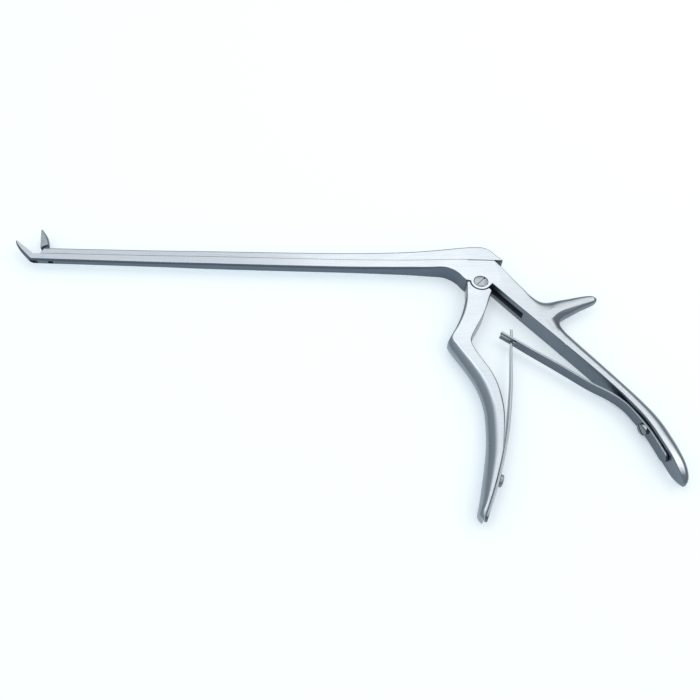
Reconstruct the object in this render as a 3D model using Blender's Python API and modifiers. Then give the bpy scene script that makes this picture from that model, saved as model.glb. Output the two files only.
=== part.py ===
"""Disc rongeur: a pistol-grip punch with a sliding upper shaft, a hinged cup jaw and leaf springs.

The instrument lies on its side. X runs along the shaft with the jaws at -X, Y points from the
handles to the slide and Z is up. The pivot screw's axis stands on the origin, and the lower side
faces of the head and handles lie in Z = 0. Sizes are in millimetres and become metres in to_metres.
"""
import math

import bmesh
import bpy
import numpy as np
from mathutils import Vector

MM = 0.001

# Head, trigger and rear handle: one thickness, about one middle plane
BODY_T = 8.2
MID = BODY_T / 2

# Clearances
SLIDE_GAP = 0.2
SEAT_GAP = 0.25
PIN_GAP = 0.08

# Shaft: fixed lower half and sliding upper half, side by side at the seam
SEAM_Y = 13.0
SHAFT_FRONT_X = -206.2
SLIDE_FRONT_X = -202.9
TIP_WIDTH = 3.4
SHAFT_WIDTH = 4.1
TIP_BOTTOM_Y = 9.0
SHAFT_BOTTOM_Y = 8.0
SLIDE_TIP_TOP_Y = 17.0
SLIDE_BACK_TOP_Y = 21.8
SLIDE_TAIL_X = 11.0
SLIDE_TOP_ROUND = 1.1

# T-shaped rail under the slide
RAIL_NECK_W = 1.1
RAIL_HEAD_W = 2.0
RAIL_HEAD_T = 0.75
RAIL_NECK_H = 1.1
RAIL_FRONT_X = -194.5
RAIL_BACK_X = -6.5

# Jaws: both cups reach the same distance along their biting faces
JAW_W = 3.0
JAW_REACH = 19.6
JAW_PIVOT = (-200.8, 10.9)
JAW_REST_DEG = 105.2
JAW_SWING_DEG = 36.5
JAW_FACE_OFFSET = 1.42
JAW_PIN_R = 0.6
JAW_EYE_R = 1.2
JAW_TONGUE_T = 1.3
DRIVE_PIN_Y = 15.1
BITE_GAP = 0.15
FRONT_WINDOW_BACK = 2.6
FRONT_WINDOW_L = 2.3
FRONT_WINDOW_W = 1.4
CUP_LENGTH = 8.6
CUP_WIDTH = 2.1
CUP_DEPTH = 0.9

# Pivot of the trigger in the head
PIVOT_SHANK_R = 2.1
PIVOT_HEAD_R = 3.1
PIVOT_HEAD_T = 1.7
PIVOT_SLOT_W = 0.8
PIVOT_SLOT_DEEP = 0.7
PIVOT_SLOT_DEG = 48
BOSS_WALL = 1.4
BOSS_R = PIVOT_HEAD_R + BOSS_WALL
TONGUE_T = 3.1
TONGUE_R = BOSS_R + 0.6
TONGUE_GAP = 0.4
NOSE_Y = 15.3
NOSE_R = 1.6
ARM_HALF_W = 1.3
HEAD_SLOT_HALF = 4.2
HANDLE_POCKET_DEEP = 2.4
HANDLE_POCKET_END_Y = -17.0

# Leaf springs and their screws
SPRING_T = 1.0
REAR_SPRING_W = 5.0
FRONT_SPRING_W = 5.0
FORK_W = 4.2
FORK_SLOT_W = 1.5
FORK_SLOT_L = 6.7
TONGUE_TIP_W = 1.1
TONGUE_END_Y = -33.0
TONGUE_TAPER = 0.12
SPRING_SCREW_R = 1.1
SPRING_SCREW_HEAD_R = 2.4
SPRING_SCREW_HEAD_T = 1.5
SPRING_SCREW_DEEP = 4.2
SPRING_SCREW_SLOT_W = 0.6
REAR_FOOT_END_Y = -86.3
REAR_SCREW_Y = -69.6
FRONT_SCREW_Y = -92.7

# Edge rounding
HANDLE_ROUND = 3.2
GRIP_ROUND = 3.9

STEEL = (0.70, 0.72, 0.74)
DARK_STEEL = (0.52, 0.54, 0.56)

SAMPLES = 4
PAST = 1.0


def clear_scene():
    for item in list(bpy.data.objects):
        bpy.data.objects.remove(item, do_unlink=True)


def to_metres(x, y, z):
    return Vector((x, y, z)) * MM


def smooth(points, steps=SAMPLES):
    """Points along a Catmull-Rom curve that passes through all the given ones."""
    ends = [points[0]] + list(points) + [points[-1]]
    curve = []
    for p0, p1, p2, p3 in zip(ends, ends[1:], ends[2:], ends[3:]):
        for step in range(steps):
            t = step / steps
            curve.append(tuple(
                0.5 * (2 * b + (c - a) * t + (2 * a - 5 * b + 4 * c - d) * t ** 2
                       + (3 * b - a - 3 * c + d) * t ** 3)
                for a, b, c, d in zip(p0, p1, p2, p3)))
    return curve + [tuple(points[-1])]


def arc(centre, radius, start_deg, end_deg, steps):
    angles = [math.radians(start_deg + (end_deg - start_deg) * i / steps) for i in range(steps + 1)]
    return [(centre[0] + radius * math.cos(a), centre[1] + radius * math.sin(a)) for a in angles]


def tangents(path):
    """Unit directions along an open path, one for each point."""
    directions = []
    for i in range(len(path)):
        a, b = path[max(i - 1, 0)], path[min(i + 1, len(path) - 1)]
        length = math.dist(a, b)
        directions.append(((b[0] - a[0]) / length, (b[1] - a[1]) / length))
    return directions


def offset(path, distance):
    """The path moved to its left by a distance."""
    return [(x - distance * dy, y + distance * dx) for (x, y), (dx, dy) in zip(path, tangents(path))]


def at_height(path, y):
    """Point and direction where a falling path passes a height."""
    index = next(i for i, point in enumerate(path) if point[1] <= y)
    (x0, y0), (x1, y1) = path[index - 1], path[index]
    share = (y0 - y) / (y0 - y1)
    return (x0 + (x1 - x0) * share, y), tangents([path[index - 1], path[index]])[0]


def turn(point, centre, degrees):
    c, s = math.cos(math.radians(degrees)), math.sin(math.radians(degrees))
    dx, dy = point[0] - centre[0], point[1] - centre[1]
    return centre[0] + c * dx - s * dy, centre[1] + s * dx + c * dy


def steel(name, colour, roughness):
    material = bpy.data.materials.new(name + "_steel")
    material.use_nodes = True
    shader = material.node_tree.nodes["Principled BSDF"]
    shader.inputs["Base Color"].default_value = (*colour, 1)
    shader.inputs["Metallic"].default_value = 1
    shader.inputs["Roughness"].default_value = roughness
    return material


def add_object(name, mesh, collection):
    item = bpy.data.objects.new(name, mesh)
    collection.objects.link(item)
    if collection is cutters:
        item.hide_render = True
        item.display_type = "WIRE"
    return item


def boolean(item, other, operation):
    modifier = item.modifiers.new(f"{operation.lower()}_{other.name}", "BOOLEAN")
    modifier.object = other
    modifier.operation = operation
    modifier.solver = "MANIFOLD"


def plate(name, outline, thickness, collection):
    """A flat outline in XY, extruded about the middle plane, with one face on each side."""
    curve = bpy.data.curves.new(name + "_outline", "CURVE")
    curve.dimensions = "2D"
    curve.fill_mode = "BOTH"
    curve.extrude = thickness / 2 * MM
    spline = curve.splines.new("POLY")
    spline.points.add(len(outline) - 1)
    for point, (x, y) in zip(spline.points, outline):
        point.co = (x * MM, y * MM, 0, 1)
    spline.use_cyclic_u = True
    source = bpy.data.objects.new(name + "_curve", curve)
    collection.objects.link(source)
    source.location.z = MID * MM
    bpy.context.view_layer.update()
    evaluated = source.evaluated_get(bpy.context.evaluated_depsgraph_get())
    mesh = bpy.data.meshes.new_from_object(evaluated)
    bm = bmesh.new()
    bm.from_mesh(mesh)
    bmesh.ops.remove_doubles(bm, verts=bm.verts, dist=0.001 * MM)
    for side in (-1, 1):
        caps = [face for face in bm.faces if face.normal.z * side > 0.9]
        bmesh.ops.dissolve_faces(bm, faces=caps)
    bmesh.ops.recalc_face_normals(bm, faces=bm.faces)
    bm.to_mesh(mesh)
    bm.free()
    item = add_object(name, mesh, collection)
    item.matrix_world = source.matrix_world.copy()
    bpy.data.objects.remove(source)
    return item


def loft(name, rings, collection):
    """Skin closed rings of (x, y, z) points with the same count, and cap both ends."""
    bm = bmesh.new()
    loops = [[bm.verts.new(to_metres(*point)) for point in ring] for ring in rings]
    for near, far in zip(loops, loops[1:]):
        for i in range(len(near)):
            j = (i + 1) % len(near)
            bm.faces.new((near[i], near[j], far[j], far[i]))
    bm.faces.new(loops[0])
    bm.faces.new(loops[-1])
    bmesh.ops.recalc_face_normals(bm, faces=bm.faces)
    mesh = bpy.data.meshes.new(name)
    bm.to_mesh(mesh)
    bm.free()
    return add_object(name, mesh, collection)


def resample(path, count):
    """The same path with its points evenly spaced in XY. Any further values are carried along."""
    rows = np.array(path)
    run = np.concatenate([[0], np.cumsum(np.hypot(*np.diff(rows[:, :2], axis=0).T))])
    wanted = np.linspace(0, run[-1], count)
    return [tuple(float(np.interp(w, run, column)) for column in rows.T) for w in wanted]


def member(name, flat_edge, round_edge, count, collection):
    """A bar between two edges, square at the first and rounded over at the second.

    The rounded edge's points also carry the rim's radius and the bar's thickness."""
    rings = []
    for (fx, fy), (bx, by, r, thick) in zip(resample(flat_edge, count), resample(round_edge, count)):
        length = math.dist((fx, fy), (bx, by))
        half = thick / 2
        r = max(0.05, min(r, 0.9 * length, 0.97 * half))
        section = [(0, -half), (0, half)]
        section += arc((length - r, half - r), r, 90, 0, 5) + arc((length - r, r - half), r, 0, -90, 5)
        rings.append([
            (fx + (bx - fx) * s / length, fy + (by - fy) * s / length, MID + z) for s, z in section])
    return loft(name, rings, collection)


def box(name, low, high, collection, angle_deg=0.0, about=(0.0, 0.0)):
    """A box between two corners, turned about a point of the XY plane."""
    bm = bmesh.new()
    bmesh.ops.create_cube(bm, size=1)
    size = [b - a for a, b in zip(low, high)]
    middle = [(a + b) / 2 for a, b in zip(low, high)]
    for vert in bm.verts:
        x, y, z = (m + s * c for m, s, c in zip(middle, size, vert.co))
        x, y = turn((x + about[0], y + about[1]), about, angle_deg)
        vert.co = to_metres(x, y, z)
    mesh = bpy.data.meshes.new(name)
    bm.to_mesh(mesh)
    bm.free()
    return add_object(name, mesh, collection)


def turned(name, profile, collection, place, direction=(0, 0, 1), steps=32):
    """Spin a profile of (radius, height) points, listed from the top down, about a direction."""
    mesh = bpy.data.meshes.new(name)
    verts = [to_metres(r, 0, z) for r, z in profile]
    mesh.from_pydata(verts, [(i, i + 1) for i in range(len(verts) - 1)], [])
    item = add_object(name, mesh, collection)
    modifier = item.modifiers.new("spin", "SCREW")
    modifier.steps = steps
    modifier.render_steps = steps
    modifier.use_merge_vertices = True
    modifier.merge_threshold = 0.001 * MM
    item.location = to_metres(*place)
    item.rotation_mode = "QUATERNION"
    item.rotation_quaternion = Vector((0, 0, 1)).rotation_difference(Vector(direction))
    return item


def rod(name, radius, low_z, high_z, collection, place, steps=24):
    """A round bar along Z at a place of the XY plane."""
    profile = [(0, high_z), (radius, high_z), (radius, low_z), (0, low_z)]
    return turned(name, profile, collection, (*place, 0), steps=steps)


def finish(item, colour=STEEL, roughness=0.28):
    item.data.materials.append(steel(item.name, colour, roughness))


# Shapes shared by the two halves of the shaft

SHAFT_PLAN = smooth([
    (SHAFT_FRONT_X - 20, TIP_WIDTH), (SHAFT_FRONT_X, TIP_WIDTH), (-150, TIP_WIDTH + 0.1),
    (-122, SHAFT_WIDTH), (-66, SHAFT_WIDTH), (-45, SHAFT_WIDTH + 0.7), (-30, BODY_T - 2.5),
    (-20, BODY_T - 1.3), (-12, BODY_T - 0.1), (-6, BODY_T + 0.8)])
SLIDE_TOP = smooth([
    (SLIDE_FRONT_X, SLIDE_TIP_TOP_Y), (-150, SLIDE_TIP_TOP_Y + 0.1), (-100, SLIDE_TIP_TOP_Y + 0.3),
    (-60, SLIDE_TIP_TOP_Y + 0.9), (-36, SLIDE_BACK_TOP_Y - 3.2), (-17, SLIDE_BACK_TOP_Y - 1.9),
    (-7, SLIDE_BACK_TOP_Y - 0.7), (-2.5, SLIDE_BACK_TOP_Y - 0.1), (1.5, SLIDE_BACK_TOP_Y - 0.1),
    (4.4, SLIDE_BACK_TOP_Y - 1.0), (7.0, SLIDE_BACK_TOP_Y - 3.3),
    (SLIDE_TAIL_X - 0.7, SEAM_Y + 1.3), (SLIDE_TAIL_X, SEAM_Y + 0.4)])


def shaft_width(x):
    """Width of both halves of the shaft at a place along it."""
    plan = np.array(SHAFT_PLAN)
    return float(min(BODY_T, np.interp(x, plan[:, 0], plan[:, 1])))


# Jaw directions: along the biting face at rest and closed, and the drive pin that swings it

JAW_CLOSED_DEG = JAW_REST_DEG + JAW_SWING_DEG
DRIVE_RISE = DRIVE_PIN_Y - JAW_PIVOT[1]
HALF_TRAVEL = DRIVE_RISE * math.tan(math.radians(JAW_SWING_DEG / 2))
SLIDE_TRAVEL = 2 * HALF_TRAVEL
DRIVE_PIN = (JAW_PIVOT[0] + HALF_TRAVEL, DRIVE_PIN_Y)
NOSE = (HALF_TRAVEL, NOSE_Y)


def on_jaw(degrees, along, away):
    """A point given along a biting face from the pivot's foot, and away from the other jaw."""
    c, s = math.cos(math.radians(degrees)), math.sin(math.radians(degrees))
    side = -1 if degrees == JAW_CLOSED_DEG else 1
    foot = (JAW_PIVOT[0] - JAW_FACE_OFFSET * s, JAW_PIVOT[1] + JAW_FACE_OFFSET * c)
    return foot[0] + along * c + side * away * s, foot[1] + along * s - side * away * c


def jaw_blade(name, degrees, start, depths, collection):
    """A cup blade: flat biting face, half-round back, both running out at the rounded tip."""
    profile = smooth(depths, 5)
    tip_start = JAW_REACH - JAW_W * 0.9
    rings = []
    for along, depth in profile:
        if along < start:
            continue
        share = max(0.0, (along - tip_start) / (JAW_REACH - tip_start))
        half = JAW_W / 2 * math.sqrt(max(0.02, 1 - share ** 2))
        ring = []
        for i in range(13):
            a = math.pi * i / 12
            flat_z = MID + half * math.cos(a)
            away = BITE_GAP + depth * math.sin(a) ** 0.7
            ring.append((*on_jaw(degrees, along, away), flat_z))
        rings.append(ring)
    return loft(name, rings, collection)


def cup_cutter(name, degrees):
    bm = bmesh.new()
    bmesh.ops.create_uvsphere(bm, u_segments=24, v_segments=12, radius=1)
    centre = JAW_REACH - 1.0 - CUP_LENGTH / 2
    for vert in bm.verts:
        x, y = on_jaw(degrees, centre + vert.co.x * CUP_LENGTH / 2, BITE_GAP + vert.co.y * CUP_DEPTH)
        vert.co = to_metres(x, y, MID + vert.co.z * CUP_WIDTH / 2)
    if degrees != JAW_CLOSED_DEG:
        bmesh.ops.reverse_faces(bm, faces=bm.faces)
    mesh = bpy.data.meshes.new(name)
    bm.to_mesh(mesh)
    bm.free()
    return add_object(name, mesh, cutters)


# Handle edges, from the head down to the heel. After x and y come the rim's rounding and the
# thickness, which runs out towards the heel

HANDLE_BACK = smooth([
    (7.0, SEAM_Y - SLIDE_GAP / 2, 0.1, BODY_T), (9.9, 9.3, 0.6, BODY_T), (13.7, 3.6, 0.9, BODY_T),
    (18.5, -2.9, 1.3, BODY_T), (23.4, -9.0, 1.8, BODY_T), (28.4, -17.0, 2.4, BODY_T),
    (34.0, -25.2, HANDLE_ROUND, BODY_T), (45.6, -40.3, HANDLE_ROUND, BODY_T),
    (58.1, -57.0, HANDLE_ROUND, BODY_T), (63.8, -66.3, HANDLE_ROUND, BODY_T),
    (66.9, -74.8, HANDLE_ROUND, BODY_T), (68.3, -81.0, 3.0, BODY_T), (68.9, -85.5, 2.8, BODY_T - 0.6),
    (68.8, -89.0, 2.2, BODY_T - 2.0), (68.2, -91.3, 1.6, BODY_T - 3.6), (67.1, -92.8, 1.0, BODY_T - 5.6)])
HANDLE_FRONT = smooth([
    (5.0, -1.0), (15.6, -13.9), (30.1, -31.0), (43.5, -47.2), (52.8, -59.6), (58.3, -69.0),
    (62.6, -81.0), (64.4, -87.6), (66.1, -92.4)])

# The spur's edges, from inside the handle out to its tip

SPUR_TOP = smooth([
    (19.8, -6.2, 2.0, BODY_T), (22.6, -8.6, 2.4, BODY_T), (25.0, -9.8, 2.8, BODY_T),
    (28.0, -10.0, 3.2, BODY_T - 0.2), (32.5, -8.5, 3.2, BODY_T - 1.0), (38.0, -6.5, 2.5, BODY_T - 2.7),
    (43.5, -4.9, 2.0, BODY_T - 3.9), (48.0, -4.0, 1.6, BODY_T - 4.8), (50.1, -4.5, 1.3, BODY_T - 5.2),
    (51.1, -5.9, 0.8, BODY_T - 6.4)])
SPUR_BELOW = smooth([
    (23.6, -20.4), (27.5, -19.8), (30.0, -18.9), (33.0, -17.1), (38.0, -14.3),
    (43.5, -11.3), (48.0, -8.9), (50.1, -7.5), (50.9, -6.6)])

# Trigger edges, from the pivot down to the toe, with the same four values at the front

TRIGGER_FRONT = smooth([
    (-6.4, -5.2, 0.2, BODY_T), (-7.7, -11.5, 1.2, BODY_T), (-9.7, -18.4, 1.4, BODY_T),
    (-12.4, -25.0, 1.4, BODY_T), (-15.0, -30.2, 1.4, BODY_T), (-16.3, -32.6, 2.0, BODY_T),
    (-15.5, -35.4, 3.0, BODY_T), (-13.2, -39.3, 3.6, BODY_T), (-9.7, -45.5, GRIP_ROUND, BODY_T),
    (-6.4, -52.2, GRIP_ROUND, BODY_T), (-4.4, -59.0, GRIP_ROUND, BODY_T),
    (-3.5, -66.5, GRIP_ROUND, BODY_T), (-4.1, -78.6, GRIP_ROUND, BODY_T),
    (-5.8, -89.0, GRIP_ROUND, BODY_T), (-8.2, -100.6, 3.2, BODY_T), (-9.4, -105.2, 2.4, BODY_T - 0.4),
    (-9.4, -107.2, 1.8, BODY_T - 1.4), (-8.3, -108.6, 1.0, BODY_T - 2.8)])
TRIGGER_TOP_CORNER = (-6.1, -0.2)
FRONT_SPRING_PATH = smooth([
    (11.6, -23.6), (11.1, -29.0), (10.2, -34.8), (8.5, -49.7), (7.1, -59.1), (5.5, -68.1),
    (4.2, -74.5), (2.4, -81.5), (0.3, -88.7), (-2.3, -96.6), (-5.3, -104.4), (-6.9, -108.6)], 3)
TRIGGER_SEAT = [p for p in offset(FRONT_SPRING_PATH, -(SPRING_T / 2 + SEAT_GAP)) if p[1] < -82]
TRIGGER_BACK = smooth([
    (4.3, -5.2), (2.8, -9.0), (-0.1, -17.6), (-4.2, -25.8), (-6.3, -31.0), (-6.2, -34.0),
    (-3.7, -39.5), (-0.2, -45.8), (2.0, -51.5), (3.3, -58.0), (3.7, -66.0), (2.7, -74.5)],
    3) + TRIGGER_SEAT


def make_handle_body():
    """Fixed lower shaft with the fixed jaw, head and rear handle, all one forging."""
    belly = smooth([
        (-6.4, 0.7), (-7.8, 2.4), (-9.6, 4.8), (-12.4, 7.0), (-17.0, SHAFT_BOTTOM_Y + 0.3),
        (-30.0, SHAFT_BOTTOM_Y), (-95.0, SHAFT_BOTTOM_Y), (SHAFT_FRONT_X, TIP_BOTTOM_Y)])
    top_y = SEAM_Y - SLIDE_GAP / 2
    boss = arc((0, 0), BOSS_R, -45, -184, 14)
    inside = [(8.6, 7.5), (9.2, 0.0), (8.6, -3.0)]
    outline = [(7.0, top_y)] + inside + [HANDLE_FRONT[0]] + boss + belly + [(SHAFT_FRONT_X + 0.3, top_y)]
    item = plate("handle_body", outline, BODY_T, parts)

    plan = [(x, w / 2) for x, w in SHAFT_PLAN]
    far_x = SHAFT_PLAN[-1][0]
    plan += [(far_x, BODY_T), (90, BODY_T), (90, -BODY_T), (far_x, -BODY_T)]
    plan += [(x, -w / 2) for x, w in reversed(SHAFT_PLAN)]
    rings = [[(x, y, MID + z) for x, z in plan] for y in (-120, 60)]
    boolean(item, loft("shaft_plan", rings, cutters), "INTERSECT")
    boolean(item, member("rear_handle", HANDLE_FRONT, HANDLE_BACK, 34, cutters), "UNION")
    boolean(item, member("spur", SPUR_BELOW, SPUR_TOP, 24, cutters), "UNION")
    depths = [(1.0, 1.7), (2.0, 2.25), (3.1, 3.1), (4.3, 3.5), (8.0, 3.2), (13.0, 2.6), (17.3, 1.5),
              (JAW_REACH, 0.3)]
    boolean(item, jaw_blade("fixed_jaw", JAW_CLOSED_DEG, 1.6, depths, cutters), "UNION")
    boolean(item, cup_cutter("fixed_cup", JAW_CLOSED_DEG), "DIFFERENCE")

    neck = RAIL_NECK_W / 2 + SLIDE_GAP
    head = RAIL_HEAD_W / 2 + SLIDE_GAP
    neck_low = SEAM_Y - SLIDE_GAP / 2 - RAIL_NECK_H + SLIDE_GAP
    groove_low = neck_low - RAIL_HEAD_T - 2 * SLIDE_GAP
    front_x = RAIL_FRONT_X - SLIDE_TRAVEL - 4 * SLIDE_GAP
    window_x = JAW_PIVOT[0] + FRONT_WINDOW_BACK
    cuts = [
        box("groove_neck", (front_x, groove_low + 0.1, MID - neck), (14, SEAM_Y + PAST, MID + neck), cutters),
        box("groove_head", (front_x, groove_low, MID - head), (14, neck_low, MID + head), cutters),
        make_head_slot(), make_handle_pocket(), make_jaw_slot(),
        box("front_window", (window_x, TIP_BOTTOM_Y - PAST, MID - FRONT_WINDOW_W / 2),
            (window_x + FRONT_WINDOW_L, groove_low + SLIDE_GAP, MID + FRONT_WINDOW_W / 2), cutters),
        rod("pivot_bore", PIVOT_SHANK_R + PIN_GAP, -PAST, BODY_T + PAST, cutters, (0, 0)),
        rod("pivot_recess", PIVOT_HEAD_R + PIN_GAP, BODY_T - PIVOT_HEAD_T - PIN_GAP, BODY_T + PAST,
            cutters, (0, 0), 32),
        rod("jaw_pin_hole", JAW_PIN_R + PIN_GAP, 0, BODY_T, cutters, JAW_PIVOT),
        spring_screw_hole("rear_screw_hole", REAR_SCREW, REAR_SCREW_AXIS),
    ]
    for cut in cuts:
        boolean(item, cut, "DIFFERENCE")
    finish(item)
    return item


def make_head_slot():
    """The slot in the head for the trigger's tongue."""
    outline = arc((0, 0), TONGUE_R + TONGUE_GAP, 140, 380, 26) + [
        (HEAD_SLOT_HALF, 5.0), (HEAD_SLOT_HALF, SEAM_Y + PAST),
        (-HEAD_SLOT_HALF, SEAM_Y + PAST), (-HEAD_SLOT_HALF, 5.0)]
    return plate("head_slot", outline, TONGUE_T + 2 * SLIDE_GAP, cutters)


def make_handle_pocket():
    """The run-out of the head slot along the front of the rear handle."""
    edge = [p for p in HANDLE_FRONT if p[1] > HANDLE_POCKET_END_Y]
    outline = offset(edge, -2 * PAST) + offset(edge, HANDLE_POCKET_DEEP)[::-1]
    return plate("handle_pocket", outline, TONGUE_T + 2 * SLIDE_GAP, cutters)


def make_jaw_slot():
    """The slot in the fixed shaft for the jaw's tongue, open below in front of the hinge."""
    floor = JAW_PIVOT[1] - JAW_EYE_R - 0.15
    back = JAW_PIVOT[0] + JAW_EYE_R + 0.6
    front = JAW_PIVOT[0] - 6.0
    outline = [
        (front, SEAM_Y + PAST), (front, 6), (JAW_PIVOT[0] - 2.4, 6), (JAW_PIVOT[0] - 2.4, floor),
        (back - 0.5, floor), (back, floor + 0.5), (back + 1.0, SEAM_Y + PAST)]
    return plate("jaw_slot", outline, JAW_TONGUE_T + 2 * SLIDE_GAP, cutters)


def make_slide():
    """The upper shaft: slides forward over the fixed one and pushes the jaw shut."""
    low_y = SEAM_Y + SLIDE_GAP / 2
    top = np.array(SLIDE_TOP)
    plan_x = [x for x, _ in SHAFT_PLAN if SLIDE_FRONT_X + 1 < x < -8]
    tail_x = [x for x, _ in SLIDE_TOP if x > -8]
    rings = []
    for x in [SLIDE_FRONT_X] + plan_x + tail_x:
        half = shaft_width(x) / 2
        high_y = float(np.interp(x, top[:, 0], top[:, 1]))
        r = min(SLIDE_TOP_ROUND, 0.6 * (high_y - low_y))
        section = [(-half, low_y), (half, low_y)]
        section += arc((half - r, high_y - r), r, 0, 90, 3)
        section += arc((r - half, high_y - r), r, 90, 180, 3)
        rings.append([(x, y, MID + z) for z, y in section])
    item = loft("slide", rings, parts)

    rail_low = low_y - SLIDE_GAP - RAIL_NECK_H - RAIL_HEAD_T + SLIDE_GAP
    rail_top = rail_low + RAIL_HEAD_T
    boolean(item, box("rail_neck", (RAIL_FRONT_X, rail_low + 0.2, MID - RAIL_NECK_W / 2),
                      (RAIL_BACK_X, low_y + 0.5, MID + RAIL_NECK_W / 2), cutters), "UNION")
    boolean(item, box("rail_head", (RAIL_FRONT_X - 0.01, rail_low, MID - RAIL_HEAD_W / 2),
                      (RAIL_BACK_X + 0.01, rail_top, MID + RAIL_HEAD_W / 2), cutters), "UNION")

    slot_half = JAW_TONGUE_T / 2 + SLIDE_GAP
    pocket_half = TONGUE_T / 2 + SLIDE_GAP
    side = NOSE_R + SLIDE_GAP / 2
    cuts = [
        box("slide_jaw_slot", (SLIDE_FRONT_X - PAST, low_y - PAST, MID - slot_half),
            (DRIVE_PIN[0] + 2.25, SLIDE_BACK_TOP_Y, MID + slot_half), cutters),
        box("nose_pocket", (NOSE[0] - side, low_y - PAST, MID - pocket_half),
            (NOSE[0] + side, NOSE_Y + NOSE_R + 2 * SLIDE_GAP, MID + pocket_half), cutters),
        rod("drive_pin_hole", JAW_PIN_R + PIN_GAP, 0, BODY_T, cutters, DRIVE_PIN),
    ]
    for cut in cuts:
        boolean(item, cut, "DIFFERENCE")
    finish(item)
    return item


def make_moving_jaw():
    """The hinged cup jaw: a full-width blade on a thin tongue with a pin eye and a drive slot."""
    depths = [(5.0, 3.6), (8.0, 3.7), (11.3, 3.35), (14.5, 2.5), (17.3, 1.3), (JAW_REACH, 0.25)]
    item = jaw_blade("moving_jaw", JAW_REST_DEG, 5.5, depths, parts)

    rest_front = SLIDE_FRONT_X - 0.25
    closed_front = rest_front - SLIDE_TRAVEL
    clear_y = SLIDE_TIP_TOP_Y + 0.2
    corner = turn((closed_front, clear_y), JAW_PIVOT, -JAW_SWING_DEG)
    lip = turn((closed_front + 3.5, clear_y), JAW_PIVOT, -JAW_SWING_DEG)
    under = [(rest_front - 4, clear_y - 0.6), (rest_front, clear_y - 0.6), (rest_front, clear_y),
             corner, lip, (lip[0], 9), (rest_front - 4, 9)]
    boolean(item, plate("jaw_underside", under, BODY_T, cutters), "DIFFERENCE")

    back_x = DRIVE_PIN[0] + JAW_PIN_R + PIN_GAP + 0.55
    tongue = arc(JAW_PIVOT, JAW_EYE_R, JAW_REST_DEG + 90, 360, 10) + [
        (back_x - 0.3, DRIVE_PIN_Y - 1.7), (back_x, DRIVE_PIN_Y - 0.5), (back_x, DRIVE_PIN_Y + 0.5),
        (DRIVE_PIN[0], DRIVE_PIN_Y + 1.4),
        on_jaw(JAW_REST_DEG, 9.2, 2.6), on_jaw(JAW_REST_DEG, 10.5, 1.8),
        on_jaw(JAW_REST_DEG, 10.5, 0.6), on_jaw(JAW_REST_DEG, 3.0, 0.35)]
    boolean(item, plate("jaw_tongue", tongue, JAW_TONGUE_T, cutters), "UNION")

    boolean(item, cup_cutter("moving_cup", JAW_REST_DEG), "DIFFERENCE")
    boolean(item, rod("jaw_eye", JAW_PIN_R + PIN_GAP, 0, BODY_T, cutters, JAW_PIVOT), "DIFFERENCE")
    radial = math.degrees(math.atan2(DRIVE_RISE, HALF_TRAVEL))
    half_slot = JAW_PIN_R + PIN_GAP
    long_r = math.hypot(DRIVE_RISE, HALF_TRAVEL)
    slot = arc((long_r, 0), half_slot, -90, 90, 8) + arc((DRIVE_RISE, 0), half_slot, 90, 270, 8)
    slot = [turn((JAW_PIVOT[0] + x, JAW_PIVOT[1] + y), JAW_PIVOT, radial) for x, y in slot]
    boolean(item, plate("drive_slot", slot, BODY_T, cutters), "DIFFERENCE")
    finish(item)
    return item


def make_jaw_pins():
    """Two ground pins, flush with the shaft's sides: the jaw's hinge and the slide's driver."""
    for name, place in (("jaw_pivot_pin", JAW_PIVOT), ("jaw_drive_pin", DRIVE_PIN)):
        half = shaft_width(place[0]) / 2
        finish(rod(name, JAW_PIN_R, MID - half, MID + half, parts, place), DARK_STEEL)


def make_trigger():
    """The front grip, its neck, and the thin tongue that reaches through the head to the slide."""
    shoulder = arc((0, 0), BOSS_R + 0.3, -47, -178, 14)
    outline = [TRIGGER_TOP_CORNER, TRIGGER_FRONT[0][:2], (-5.0, -7.4), (2.4, -7.4), TRIGGER_BACK[0]]
    item = plate("trigger", outline + shoulder, BODY_T, parts)
    boolean(item, member("grip", TRIGGER_BACK, TRIGGER_FRONT, 36, cutters), "UNION")

    lean = math.degrees(math.atan2(NOSE[0], NOSE_Y))
    arm = arc((0, 0), TONGUE_R, 125 - lean, 200, 8) + [(-4.0, -8.0), (2.0, -8.0)]
    arm += arc((0, 0), TONGUE_R, -50, 55 - lean, 10)
    nose = [turn(p, (0, 0), -lean) for p in (
        [(ARM_HALF_W + 0.4, 7.5)] + arc((0, math.hypot(*NOSE)), NOSE_R, -40, 220, 14)
        + [(-ARM_HALF_W - 0.4, 7.5)])]
    boolean(item, plate("trigger_tongue", arm + nose, TONGUE_T, cutters), "UNION")
    boolean(item, rod("trigger_bore", PIVOT_SHANK_R + PIN_GAP, -PAST, BODY_T + PAST, cutters, (0, 0)),
            "DIFFERENCE")
    boolean(item, spring_screw_hole("front_screw_hole", FRONT_SCREW, FRONT_SCREW_AXIS), "DIFFERENCE")
    finish(item)
    return item


def make_pivot_screw():
    """Slotted screw, its head sunk in the upper cheek and its end flush with the lower face."""
    neck_z = BODY_T - PIVOT_HEAD_T
    profile = [(0, BODY_T), (PIVOT_HEAD_R - 0.25, BODY_T), (PIVOT_HEAD_R, BODY_T - 0.25),
               (PIVOT_HEAD_R, neck_z), (PIVOT_SHANK_R, neck_z), (PIVOT_SHANK_R, 0), (0, 0)]
    item = turned("pivot_screw", profile, parts, (0, 0, 0))
    slot = box("pivot_slot", (-PIVOT_HEAD_R - PAST, -PIVOT_SLOT_W / 2, BODY_T - PIVOT_SLOT_DEEP),
               (PIVOT_HEAD_R + PAST, PIVOT_SLOT_W / 2, BODY_T + PAST), cutters, PIVOT_SLOT_DEG)
    boolean(item, slot, "DIFFERENCE")
    finish(item, DARK_STEEL)
    return item


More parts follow.
